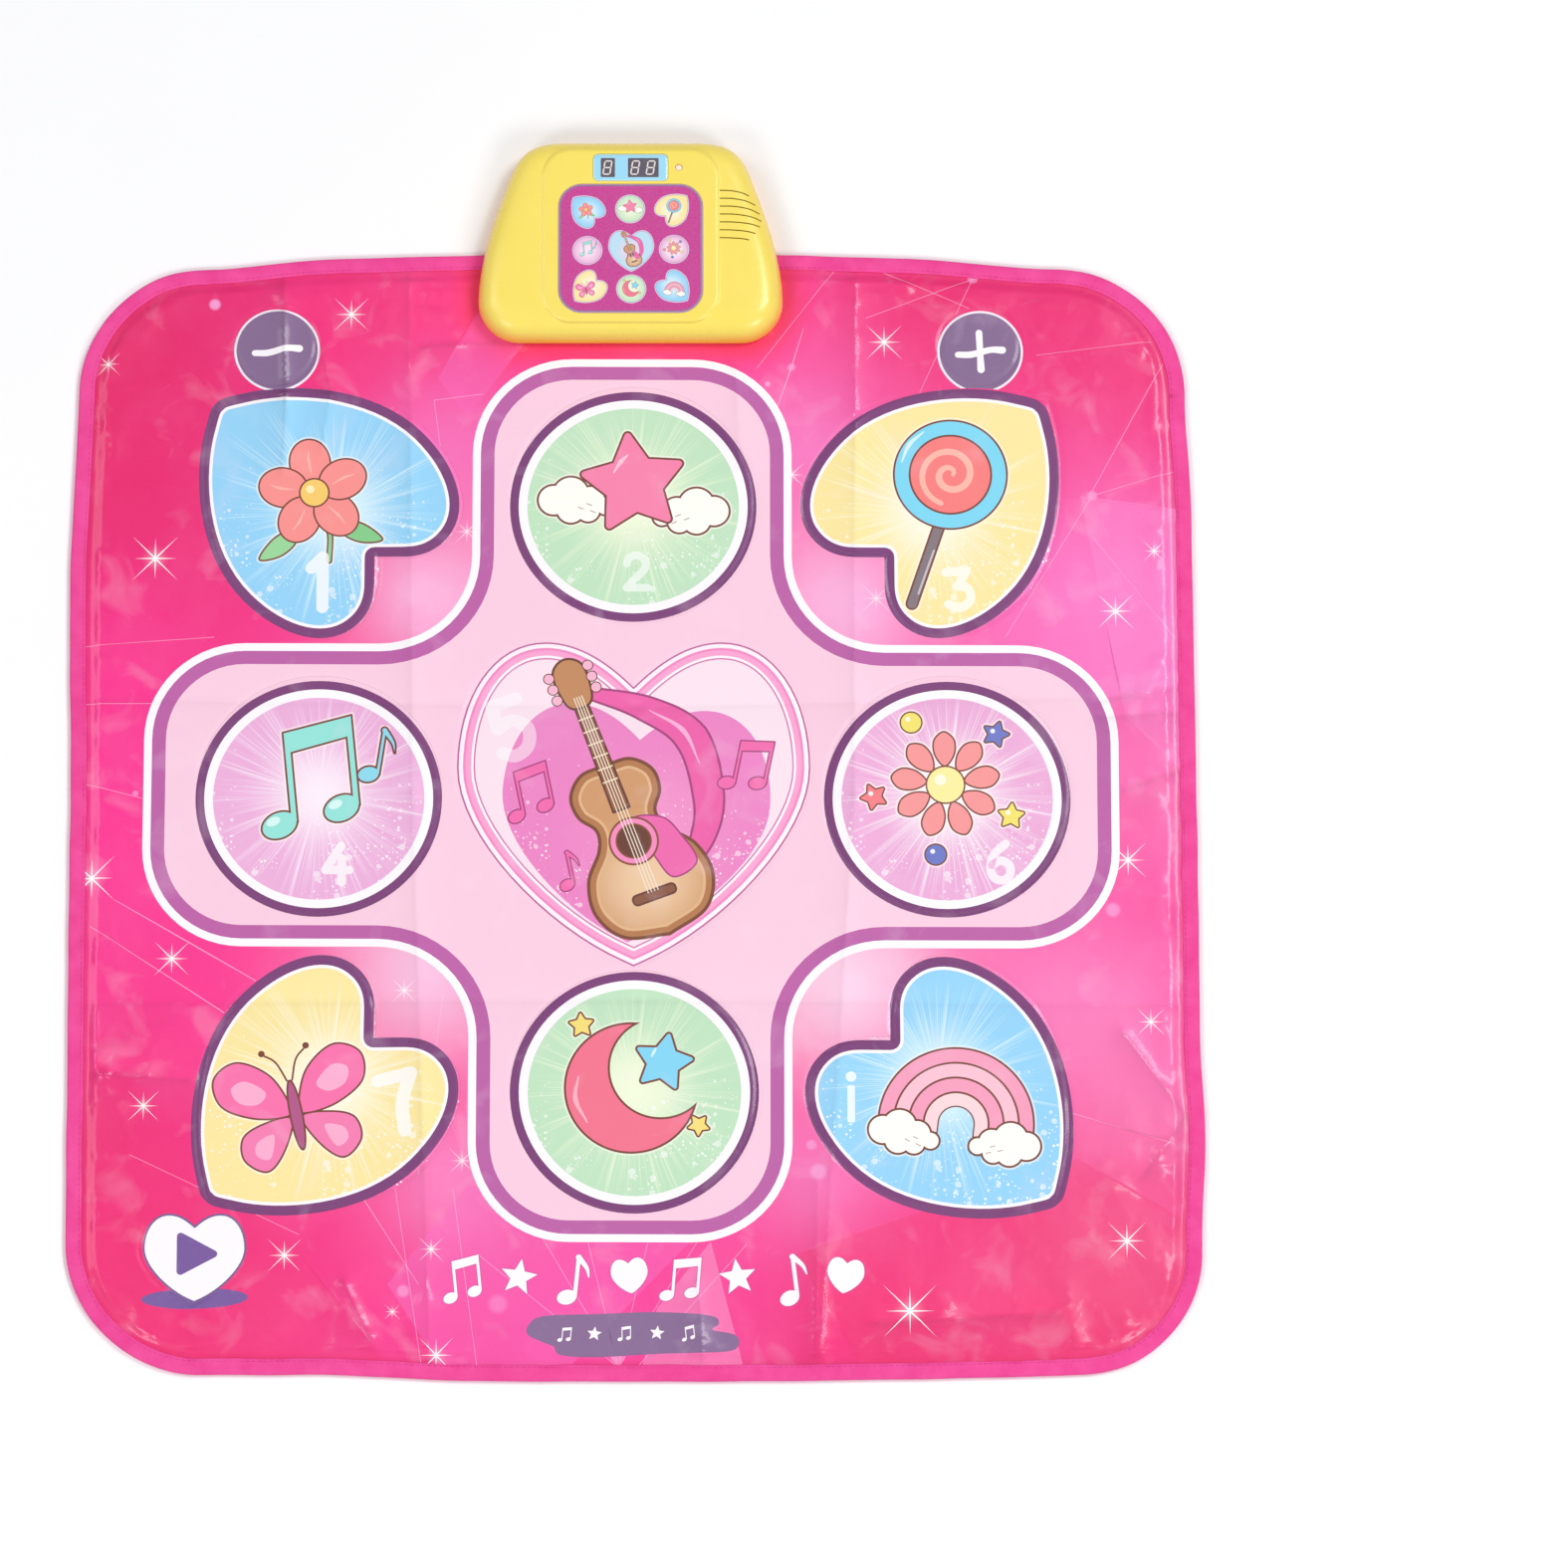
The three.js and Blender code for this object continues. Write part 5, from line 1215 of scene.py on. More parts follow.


# Print of the mat's ground, by places in the photograph: inks that glow into each other, each with its
# radius and strength; wedges of painted light and shade on the film's creased facets; threads of light
# with soft dots; and sparkles with their size and strength

glow_plan = [
    ((110, 320), 250, "#e81e6a", 1.0), ((120, 540), 170, "#ea1a66", 0.7),
    ((420, 310), 120, "#f81c6a", 0.6), ((1130, 300), 210, "#f22a76", 0.95),
    ((930, 285), 130, "#ec266c", 0.75), ((450, 455), 85, "#fb7ccb", 0.7),
    ((815, 450), 85, "#fb84cf", 0.75), ((440, 600), 85, "#fdbfe6", 0.85),
    ((845, 610), 95, "#fdbfe8", 0.9), ((1110, 620), 150, "#fe84d4", 0.85),
    ((110, 640), 90, "#ff2c90", 0.6), ((90, 800), 150, "#ff2c96", 0.7),
    ((1180, 790), 110, "#fe7abc", 0.7), ((88, 1145), 90, "#ec2470", 1.0),
    ((1155, 1130), 75, "#fe94cf", 0.75), ((430, 975), 95, "#fdcfee", 0.95),
    ((850, 985), 100, "#fedcf2", 0.95), ((1080, 1030), 120, "#ff96d4", 0.75),
    ((455, 1190), 80, "#fc9ad6", 0.8), ((825, 1190), 80, "#fc8cd0", 0.8),
    ((130, 1330), 260, "#f42876", 0.9), ((640, 1330), 150, "#fb4aa8", 0.6),
    ((1130, 1340), 230, "#f03878", 0.85), ((860, 1340), 120, "#ee286e", 0.65),
    ((1110, 1260), 85, "#f46492", 0.55),
]
painted_facet_plan = [
    ([(389, 1290), (470, 1190), (700, 1240), (560, 1385), (442, 1372)], "#fc6cc2", 0.45),
    ([(660, 1314), (714, 1247), (750, 1385), (640, 1392)], "#fdb0e0", 0.35),
    ([(1082, 1164), (1215, 1240), (1215, 1400), (880, 1400), (800, 1260)], "#ef2f6c", 0.38),
    ([(1067, 500), (1215, 517), (1215, 240), (1010, 240)], "#e62a6c", 0.12),
    ([(1085, 498), (1215, 515), (1215, 800), (1130, 720)], "#ff8fd6", 0.35),
    ([(60, 1240), (240, 1180), (410, 1400), (60, 1400)], "#ef2f6c", 0.22),
    ([(440, 380), (520, 250), (560, 300), (470, 420)], "#ff6cc4", 0.35),
]
thread_plan = [
    [(807, 330), (795, 369), (779, 414)], [(977, 280), (923, 396)], [(977, 280), (870, 320)],
    [(1168, 365), (1095, 497)], [(1156, 343), (1041, 357)], [(85, 707), (153, 707)], [(85, 787), (143, 802)],
    [(115, 904), (185, 944), (300, 1010)], [(436, 402), (485, 396)], [(436, 402), (452, 520)],
    [(90, 930), (260, 1040), (420, 1290)], [(1098, 540), (1180, 640)], [(621, 1373), (540, 1235)],
    [(621, 1373), (585, 1225)], [(621, 1373), (655, 1230)], [(621, 1373), (705, 1240)],
    [(621, 1373), (480, 1260)], [(395, 1180), (425, 1385)], [(455, 1195), (480, 1380)],
    [(640, 1373), (750, 1250)], [(130, 1160), (300, 1240)], [(855, 250), (760, 370)],
    [(880, 270), (1020, 330)], [(1050, 1110), (1180, 1150)], [(1097, 498), (1010, 640)],
    [(1097, 498), (1190, 470)], [(70, 650), (215, 640)], [(445, 1000), (420, 1180)],
]
node_plan = [((216, 306), 5.6, 0.75), ((405, 1297), 6, 0.5), ((1118, 914), 7, 0.5), ((815, 1150), 5, 0.5),
             ((822, 1177), 8, 0.55), ((795, 369), 4, 0.5), ((771, 386), 3, 0.6), ((977, 279.5), 5, 0.5),
             ((1097, 498), 5, 0.5), ((136, 797), 3, 0.5), ((620, 1362), 7, 0.5), ((500, 1310), 9, 0.3)]
sparkle_plan = [
    ((353, 316), 1.0, 1.0), ((109, 366), 0.7, 1.0), ((156, 561), 1.3, 1.0), ((888, 344), 1.05, 1.0),
    ((795, 477), 0.75, 0.8), ((1159, 554), 0.62, 1.0), ((1120.5, 614), 1.05, 1.0), ((880, 601), 0.9, 0.5),
    ((469, 534), 0.8, 0.6), ((1133, 864), 1.05, 1.0), ((1156, 1026.5), 0.8, 1.0), ((92, 882), 1.3, 1.0),
    ((172.5, 963), 1.0, 1.0), ((406, 995), 0.75, 0.8), ((464, 1166), 0.75, 0.7), ((144, 1111), 0.9, 1.0),
    ((285.5, 1261), 0.95, 1.0), ((433, 1255), 0.7, 1.0), ((394, 1318), 0.45, 1.0), ((438, 1361), 1.0, 1.0),
    ((1132, 1246.5), 1.1, 1.0), ((914, 1317), 1.5, 1.0),
]
plate_edge = [
    (531, 1331), (546, 1322), (600, 1320), (660, 1318), (714, 1322), (722, 1330), (716, 1336), (738, 1341),
    (742, 1351), (728, 1358), (660, 1360), (600, 1363), (563, 1361), (556, 1353), (544, 1348), (530, 1341),
]
plate_stars = [(597, 1340), (660, 1339)]
plate_notes = [(568, 1341), (628, 1340), (692, 1340)]
row_start, row_pitch, row_rise = (466, 1286), 55.0, 3
print_white = "#fffafd"
cross_pink = "#fccfe3"

# The cross behind the round pads: its bands, its margins past the pads and its corners

lilac_band = 11.0
white_line = 6.4
cross_margins = (42.5, 24.0)
arm_margins = (30.4, 27.0)
cross_corner = 80.0
cross_fillet = 74.0


def cross(inset):
    """Two crossed bars with round ends and filleted inner corners, set in by a distance."""
    far_x = pitch_x + circle_radius + cross_margins[0] - 2.0 - inset
    far_y = pitch_y + circle_radius + cross_margins[1] - inset
    arm_x = circle_radius + arm_margins[0] - inset
    arm_y = circle_radius + arm_margins[1] - inset
    outer, inner = cross_corner - inset, cross_fillet + inset
    arc = quarter_arc(14)
    end, bend = arc * outer, -arc[:, ::-1] * inner
    quarter = np.concatenate([end + [far_x - outer, arm_y - outer],
                              bend + [arm_x + inner, arm_y + inner],
                              end + [arm_x - outer, far_y - outer]])
    half = np.concatenate([quarter, (quarter * [-1, 1])[::-1]])
    return moved(np.concatenate([half, -half]), -2.0, field_y - 0.6, turn=-0.003)


def sparkle(pixel, size, alpha):
    """A bright centre with four short and four long tapering arms."""
    x, y = on_mat([pixel])[0]
    step = np.arange(16)
    reach = np.where(step % 2, 1.25, np.where(step % 4 == 2, 20.0, 13.0)) * size
    arms = around(x, y, reach, step / 16 * tau)

    def halo(points):
        return 0.42 * alpha * np.clip(1 - np.hypot(*(points - [x, y]).T) / (9 * size), 0, 1) ** 2
    rings = [circle(x, y, r * size, 20) for r in (3.0, 6.0)]
    return [layer([circle(x, y, 9 * size, 24)], "#ffffff", halo, extra=[[(x, y)], *rings]),
            layer([arms], "#ffffff", alpha)]


def soft_dot(pixel, radius, alpha):
    """A pale disc that fades out at its rim."""
    x, y = on_mat([pixel])[0]

    def fade(points):
        return alpha * ease(-np.hypot(*(points - [x, y]).T), -radius, -radius * 0.55)
    rings = [circle(x, y, radius * s, 24) for s in (0.55, 0.78)]
    return layer([circle(x, y, radius, 28)], "#fbb3ea", fade, extra=[[(x, y)], *rings])


def film_ground(points):
    """The ground's inks, with a painted shadow along the tape's edge and painted light bounced off the box,
    redder close to it.
    """
    color = plain("#ff3a98")(points)
    for pixel, radius, tint, strength in glow_plan:
        gap = np.linalg.norm(points - on_mat([pixel])[0], axis=1)
        color = mixed(color, ink(tint), strength * bell(gap, radius * 0.8)[:, None])
    # painted shadow in the hollow beside the tape
    seam_shadow = 0.5 * bell(from_edge(points) - tape_width, 3.4)
    # painted light bounced off the box onto the film round it
    near = (np.abs(points[:, 0] - box_x) < box_half + 30) & (points[:, 1] > box_front - 40)
    bounce = np.zeros(len(points))
    bounce[near] = 0.8 * bell(to_sides(points[near], box_outline()), 15)
    return mixed(mixed(color, ink("#d0185a"), seam_shadow[:, None]), ink("#fb3352"), bounce[:, None])


def front_row():
    """A row of signs: two joined notes, a star, a note and a heart, then the same once more."""
    x, y = row_start
    row = on_mat([(x + row_pitch * k, y - row_rise * (k % 2)) for k in range(8)])
    signs = []
    for places, turns in ((row[:4], (0.1, 1.4, -0.1, 0.12)), (row[4:], (-0.08, 1.7, 0.12, -0.15))):
        signs += [note_loops(*places[0], 0.44, turns[0]),
                  [star(*places[1], 15, 6.6, turn=turns[1])],
                  single_note(*places[2], 0.78, turns[2]),
                  [heart(*(places[3] + [0, 11]), 14.5, 28, turns[3])]]
    return signs


def film_print():
    """The ground's figures with its painted wedges of light and shade, the rings of every pad, the keys'
    signs, the cross, and the row by the front.
    """
    # painted light and shade: lighter and darker wedges where the film's facets catch or lose the light
    art = [layer([on_mat(corners)], tint, alpha, bare=1.0) for corners, tint, alpha in painted_facet_plan]
    for line in thread_plan:
        art += [layer([stroke(on_mat(line), [0.5, 1.1, 0.5], 4, curved=False)], "#ffd6f4", 0.45)]
    art += [soft_dot(*plan) for plan in node_plan]
    art += start_print()
    art += [part for plan in sparkle_plan for part in sparkle(*plan)]
    for name in print_hearts:
        art += ringed(name)
    art += key_print("key_minus") + key_print("key_plus")
    art += [layer([cross(0)], print_white), layer([cross(white_line)], "#be62a8"),
            layer([cross(white_line + lilac_band)], cross_pink)]
    for name in print_shifts:
        art += ringed(name)
    art += [layer([smooth(on_mat(plate_edge), 6)], "#8a6c96")]
    art += [layer([star(*place, 6.0, 2.7, turn=0.2) for place in on_mat(plate_stars)], print_white)]
    for k, place in enumerate(on_mat(plate_notes)):
        art += [layer(note_loops(*place, 0.15, 0.1 * (k - 1)), print_white)]
    signs = front_row()
    art += [grown_layer(shapes, 0.9, "#c95aa6", 0.55) for shapes in signs]
    art += [layer(shapes, print_white) for shapes in signs]
    return art


# The film's relief: folds from storage, crumpled patches, puckers by the tape and bulges beside it

fold_plan = [
    ([(410, 250), (413, 800), (431, 1385)], 0.55), ([(858, 250), (857, 800), (822, 1385)], 0.5),
    ([(70, 705), (640, 712), (1200, 700)], 0.35), ([(70, 1010), (640, 1006), (1200, 1012)], 0.35),
    ([(284, 270), (286, 400), (283, 470)], 0.9), ([(318, 330), (331, 395), (322, 450)], 0.5),
    ([(1106, 706), (1192, 690)], 0.8), ([(1106, 722), (1192, 716)], 0.8), ([(1130, 795), (1192, 772)], 0.8),
    ([(424, 350), (496, 344)], 0.9), ([(1128, 1040), (1190, 1120)], 0.8), ([(1150, 1180), (1192, 1120)], 0.7),
    ([(738, 372), (742, 470)], 0.35), ([(700, 1290), (706, 1385)], 0.6), ([(880, 1330), (1060, 1322)], 0.9),
    ([(820, 1190), (818, 1385)], 0.5), ([(345, 1290), (372, 1345)], 0.9), ([(100, 1080), (190, 1086)], 0.9),
]
patch_plan = [
    ((120, 1080), 62, 1.5), ((100, 1000), 45, 0.9), ((330, 1330), 85, 0.9), ((170, 1330), 60, 0.8),
    ((1150, 1170), 60, 1.3), ((1165, 900), 45, 1.0), ((1120, 1330), 80, 1.0), ((960, 1340), 90, 0.8),
    ((1160, 700), 55, 0.8), ((860, 300), 60, 0.7), ((440, 330), 70, 1.0), ((1100, 330), 60, 0.5),
    ((700, 1350), 70, 0.7), ((110, 420), 45, 0.6), ((430, 1340), 50, 0.8),
]


def soft_ridge(points, line, height, width=7.0):
    """A crease: highest on its line, and lower with the distance from it."""
    line = on_mat(line)
    gap = np.full(len(points), np.inf)
    for a, b in zip(line[:-1], line[1:]):
        along = b - a
        share = np.clip((points - a) @ along / (along @ along), 0, 1)
        gap = np.minimum(gap, np.linalg.norm(points - a - share[:, None] * along, axis=1))
    return height * np.exp(-gap / width)


def crease_shade(points):
    """Painted shade of the folds: darker along a fold and on one side of it, lighter on the other, as light
    would fall on the creased film.
    """
    shade = np.ones(len(points))
    for line, height in fold_plan:
        line = on_mat(line)
        for a, b in zip(line[:-1], line[1:]):
            along = (b - a) / np.linalg.norm(b - a)
            at = (points - a) @ along
            side = (points - a) @ [along[1], -along[0]]
            past = np.maximum(np.maximum(-at, at - np.linalg.norm(b - a)), 0)
            lean = side / (np.abs(side) + 2) * np.exp(-np.abs(side) / 16)
            shade -= height * bell(past, 6) * (0.15 * bell(side, 2.2) + 0.12 * lean)
    return np.clip(shade, 0.72, 1.14)


def relief(points):
    """How far the film stands above flat, in mm, wrinkles and all."""
    wave = np.maximum(value_noise(points, 95, 11), 0) * 0.5
    wave = wave + np.maximum(value_noise(points, 41, 12), 0) * 0.16
    uneven = (0.7 + 0.5 * value_noise(points, 33, 5)) * (0.7 + 0.9 * ease(np.hypot(*points.T), 240, 430))
    for line, height in fold_plan:
        wave = wave + soft_ridge(points, line, 2.2 * height, 5.5) * uneven
    bent = points + np.c_[value_noise(points, 37, 21), value_noise(points, 37, 22)] * 11
    facets = value_noise(bent @ np.array([[0.8, 0.6], [-0.6, 0.8]]), 26, 23, straight=True)
    facets = facets + 0.5 * value_noise(bent @ np.array([[0.5, -0.87], [0.87, 0.5]]), 14, 24, straight=True)
    amount = 0.12 + sum(
        1.8 * height * np.exp(-((points - on_mat([pixel])[0]) ** 2).sum(1) / (radius * 0.8) ** 2)
        for pixel, radius, height in patch_plan)
    return wave + np.maximum(facets + 0.35, 0) * amount


def near_zone(points, reach=14.0):
    """The distance to the nearest pad's outline, up to a reach."""
    gap = np.full(len(points), reach)
    for outline in zones.values():
        low, high = outline.min(0) - reach, outline.max(0) + reach
        at = ((points > low) & (points < high)).all(1)
        gap[at] = np.minimum(gap[at], to_sides(points[at], outline))
    return gap


pucker_inset = 26
bulge_inset = 31
ripple_width = 9
weld_low = 5.98
weld_steps = (1.5, 3.0, 4.5)
weld_reach = weld_steps[-1]


def film_height(points):
    """The cover's top: its relief, eased down to the weld round each pad, under the box and at the tape."""
    edge = from_edge(points)
    uneven = value_noise(points, 31, 31)
    fine = value_noise(points, 11, 32)
    lift = relief(points)
    outline = box_outline()
    near = ((points > outline.min(0) - 40) & (points < outline.max(0) + 40)).all(1)
    free = np.ones(len(points))
    free[near] = ease(to_sides(points[near], outline), 3, 34) * ~inside(points[near], outline)
    pucker = np.maximum(fine, 0) * 1.1 * bell(edge - pucker_inset, ripple_width)
    bulge = np.maximum(0.3 + 1.3 * uneven, 0) * bell(edge - bulge_inset - 6 * uneven, ripple_width)
    rise = ease(edge, tape_width + 2.5 + fine, tape_width + 12)
    weld = 1 - ease(near_zone(points), 0, weld_reach)
    flat = cover_top + (lift + pucker + bulge) * free
    height = hem_top + 0.1 + (flat - hem_top - 0.1) * rise
    return mixed(height, weld_low, weld)


def film_under(points):
    """The cover's underside, which comes down to the hem at the tape."""
    return hem_low + (cover_low - hem_low) * ease(from_edge(points), tape_width, tape_width + 6)


film_inset = 1.4
film_spacing = 5.35
film_gap = 0.12
flange_reach = 11.5


def fold_lines():
    """The folds, each with a line close by on either side, for a mesh to follow."""
    lines = []
    for plan, _ in fold_plan:
        line = on_mat(plan)
        for a, b in zip(line[:-1], line[1:]):
            across = np.array([a[1] - b[1], b[0] - a[0]]) / np.linalg.norm(b - a)
            run = a + (b - a) * np.linspace(0, 1, 41)[:, None]
            lines += [run + across * aside for aside in (-2.4, 0.0, 2.4)]
    return lines


def make_film():
    """The printed cover, open at every pad and at the box; returns its area as well."""
    region = mat_outline(film_inset)
    holes = [box_outline(flange_reach), *(grown(z, film_gap) for z in zones.values())]
    welds = [grown(z, reach) for z in zones.values() for reach in weld_steps]
    rims = [mat_outline(tape_width + k) for k in (-0.5, 2.5, 5, 8, 12)]
    lines = [*map(back_to_start, [*welds, *rims]), *fold_lines()]
    film = slab("printed_film", region, holes, film_print(), film_ground, film_height, film_under,
                film_spacing, printed_film("printed_vinyl"), lines=lines, painted_shade=crease_shade)
    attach(film, "mat")
    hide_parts("top_cover")
    area = signed_area(region) - sum(abs(signed_area(z)) for z in zones.values())
    return film, area


pad_spacing = 4.0


def level(height):
    """A flat surface at one height."""
    return lambda points: np.full(len(points), height)


def pad_height(outline):
    """A pad's top: the cover's relief, eased down to the weld at its rim."""
    def height(points):
        weld = 1 - ease(to_sides(points, outline), 0, weld_reach)
        return mixed(cover_top + relief(points), weld_low, weld)
    return height


def make_pad(name):
    """A pad's or key's printed skin: the cover's relief, eased down to the weld at its rim."""
    outline = zones[name]
    centre = pad_middle(name)
    if name in pad_plans:
        art = pad_print(name)
        material = printed_film(name + "_vinyl", centre, pad_plans[name][2], 0.9, 0.9)
    elif name == "pad_5":
        art = middle_heart_print()
        material = printed_film(name + "_vinyl", centre, specks=0.8)
    else:
        art = start_print() if name == "key_start" else key_print(name)
        material = printed_film(name + "_vinyl", centre)
    lines = [back_to_start(grown(outline, -reach)) for reach in weld_steps]
    ground = plain(cross_pink) if name in (*print_shifts, "pad_5") else film_ground
    pad = slab(name + "_skin", outline, [], art, ground, pad_height(outline), level(cover_low),
               pad_spacing, material, lines=[*lines, *fold_lines()], painted_shade=crease_shade)
    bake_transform(pad)
    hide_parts(name + "_face")
    abs(signed_area(outline)) * mm * mm
    return pad


# Tape, its stitches and the cloth underneath


def edge_path(inset, step):
    """Evenly spaced places along the mat's edge from one side of the box round to the other, with the way
    along and the way in from the edge at each."""
    loop = back_to_start(mat_outline(inset))
    length = np.concatenate([[0], np.cumsum(np.linalg.norm(np.diff(loop, axis=0), axis=1))])
    places = np.arange(0, length[-1], step)
    line = np.stack([np.interp(places, length, loop[:, k]) for k in (0, 1)], 1)
    hidden = inside(line, box_outline(flange_reach))
    first = int(np.flatnonzero(hidden & ~np.roll(hidden, -1))[0])
    line = np.roll(line, -first, 0)[~np.roll(hidden, -first)]
    along = unit(np.gradient(line, axis=0))
    return line, along, leftward(along)


tape_step = 2.2
tape_top = 5.16
tape_lip = 4.4
box_floor_top = 2.2

# The tape's section: how far in, as a share of its width, and how high

tape_section = np.array([
    (1, 0.02), (0.6, 0.0), (0.2, 0.0), (0.06, 0.12), (0.015, 0.7), (0, 1.8), (0, 3.0), (0.02, 4.0),
    (0.06, 4.62), (0.14, 4.95), (0.3, 5.12), (0.5, tape_top), (0.7, 5.08), (0.86, 4.95), (0.955, 4.84),
    (1, 4.66), (1.005, 4.44), (0.985, 4.3), (0.8, 4.3), (0.4, 4.3), (0.09, 4.28), (0.07, 3.6),
    (0.07, 1.2), (0.09, 0.64), (0.4, 0.6), (0.8, 0.6), (0.99, 0.58)])


def make_tape():
    """A strip folded round the hem: its section is a soft nose outside, a lip above and a lip below.

    Where it runs into the box its heights are drawn up, so that it lies on the box's floor."""
    line, _, into = edge_path(0.0, tape_step)
    place = np.arange(len(line)) * tape_step
    wobble = value_noise(np.c_[place, place * 0], 34, 41)
    fine = value_noise(np.c_[place, place * 0 + 7], 9, 42)
    width = tape_width + 0.5 * wobble + 0.25 * fine
    start = 0.45 * (1 + wobble) * 0.8
    inward, up = tape_section.T
    across = start[:, None] + inward * (width - start)[:, None]
    ripple = (0.22 * fine + 0.15 * wobble)[:, None] * (up > tape_lip) * inward
    floor = inside(line, grown(box_outline(), 2.5))[:, None] * box_floor_top
    height = up * (1 - floor / tape_top) + floor + ripple
    flat = line[:, None] + into[:, None] * across[..., None]
    rows = np.concatenate([flat, np.broadcast_to(height[..., None], (*flat.shape[:2], 1))], 2)
    tape = sweep("edge_tape", rows, woven("binding_tape", "#ec3891", "#fb58a8"), tube=True)
    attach(tape, "mat")
    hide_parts("edge_binding")
    return tape


stitch_pitch = 4.6
stitch_length = 3.1
stitch_thick = 0.55
stitch_height = 5.0
stitch_inset = 2.0


def make_stitches():
    """One small capsule a stitch, set along the tape's inner lip."""
    line, along, into = edge_path(tape_width - stitch_inset, stitch_pitch)
    places = np.array([-1, -0.8, 0, 0.8, 1]) * stitch_length / 2
    thick = np.array([0.25, 0.9, 1.0, 0.9, 0.25]) * stitch_thick / 2
    rounds, sides = len(places), 6
    angle = np.arange(sides) / sides * tau
    a = np.repeat(places, sides)
    b = (thick[:, None] * np.cos(angle)).ravel()
    c = (thick[:, None] * np.sin(angle)).ravel()
    flat = line[:, None] + along[:, None] * a[:, None] + into[:, None] * b[:, None]
    up = np.broadcast_to(stitch_height + c, flat.shape[:2])
    points = np.concatenate([flat, up[..., None]], 2).reshape(-1, 3)
    index = np.arange(rounds * sides).reshape(rounds, sides)
    near, far = index[:-1], index[1:]
    quads = np.stack([q.ravel() for q in (near, far, np.roll(far, -1, 1), np.roll(near, -1, 1))], 1)
    ends = np.stack([index[0], index[-1][::-1]])
    shift = (np.arange(len(line)) * index.size)[:, None, None]
    thread = woven("stitch_thread", "#d23488", "#e84ea2", 3000.0)
    stitches = add_mesh("binding_stitches", points, [
        (quads[None] + shift).reshape(-1, 4), (ends[None] + shift).reshape(-1, sides)], thread)
    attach(stitches, "mat")
    return stitches


def non_slip_cloth(name):
    """Pale cloth with a close pattern of raised rubber dots."""
    material, tree, shader = finish(name, "#e6e1e8", 0.85)
    place = own_place(tree)
    grid = {"Vector": place, "Scale": 240.0, "Randomness": 0.0}
    dots = node(tree, "ShaderNodeTexVoronoi", grid, feature="F1").outputs["Distance"]
    dot = between(tree, dots, 0.22, 0.32, 1.0, 0.0)
    fibre = noise(tree, place, 700.0, 4.0)
    ground = blended(tree, between(tree, fibre, 0.3, 0.7), "#d6d0da", "#eeebf1")
    feed(tree, shader, {"Base Color": blended(tree, dot, ground, "#f6f5f8")})
    raised(tree, shader, fibre, 0.3, 0.0002)
    raised(tree, shader, dot, 0.6, 0.0004)
    return material


backing_spacing = 16.0
backing_inset = 1.3
backing_lift = 1.3


def make_backing():
    """The cloth under the mat, which rises over the tape's lower lip at its rim."""
    region = mat_outline(backing_inset)
    rims = tape_width + np.array([0.3, 0.7, 2.5])

    def under(points):
        return backing_lift * (1 - ease(from_edge(points), rims[0], rims[1]))

    def top(points):
        return 1.0 + 1.0 * (1 - ease(from_edge(points), rims[1], rims[2]))
    lines = [back_to_start(mat_outline(k)) for k in rims]
    cloth = slab("backing_cloth", region, [box_outline(-0.5)], [], plain("#e6e1e8"), top, under,
                 backing_spacing, non_slip_cloth("non_slip_cloth"), lines=lines, drop=0)
    cloth.data.set_sharp_from_angle(angle=radians(35))
    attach(cloth, "mat")
    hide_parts("bottom_cover")
    return cloth, signed_area(region)


# The control box's top shell

crown_in_shares = [0.04, 0.0, 0.05, 0.16, 0.36, 0.64, 1.0]
crown_up_shares = [0.0, 0.2, 0.48, 0.7, 0.87, 0.97, 1.0]
edge_round = 24.0
shell_wall = 2.2
raised_height = 1.4
raised_size = (144.0, 147.0)
raised_corner = 24.0
raised_slope = 3.0
raised_front_margin = 11.2
raised_middle = np.array([box_x, box_front + raised_front_margin + raised_size[1] / 2])
crown_top = box_top - raised_height
crown_rise = crown_top - rim_low
crown_curve = smooth(np.c_[crown_in_shares, crown_up_shares], 12, closed=False)
shoulder = edge_round * 0.05
upper_curve = crown_curve[crown_curve[:, 1] >= 0.48]
lower_curve = crown_curve[crown_curve[:, 1] <= 0.481]


def in_rounded(points, centre, size, corner):
    """How far inside a rounded rectangle points are; less than zero outside."""
    square = np.abs(points - centre) - (np.array(size) / 2 - corner)
    return corner - np.linalg.norm(np.maximum(square, 0), axis=1) - np.minimum(square.max(1), 0)


lens_low, lens_high = span("display_lens")
label_low, label_high = span("control_label")
lens_place = (middle("display_lens"), size_of("display_lens"), 4.0)
label_place = (middle("control_label"), size_of("control_label"), 19.0)
seat_gap = 0.35
seat_drop = 0.3
panel_blend = 2.2


def crown_height(points):
    """The crown's curve, by the distance from the box's edge."""
    share = to_sides(points, box_outline()) / edge_round
    return rim_low + crown_rise * np.interp(share, upper_curve[:, 0], upper_curve[:, 1])


def box_height(points):
    """The shell's top: the crown, the raised panel blended over it with soft sides, and the seats of the
    lens and the label cut into the panel."""
    deep = in_rounded(points, raised_middle, raised_size, raised_corner)
    panel = crown_top + raised_height * ease(deep, -0.4, raised_slope) + np.minimum(deep, 0) * 6
    height = np.logaddexp(crown_height(points) * panel_blend, panel * panel_blend) / panel_blend
    height = np.minimum(height, box_top + 0.02)
    for place, low in ((lens_place, lens_low[2]), (label_place, label_low[2])):
        height = np.where(in_rounded(points, *place) > -seat_gap + 0.01, low - seat_drop, height)
    return height


slot_count = 7
slot_pitch = 6.7
slot_shift = -3.6
slot_width = 1.05
slot_shortest = 20.0
slot_bulge = 13.0
slot_lead = 13.0
slot_droops = (3.6, 4.4, 4.8, 4.4, 3.2, 2.8, 1.8)


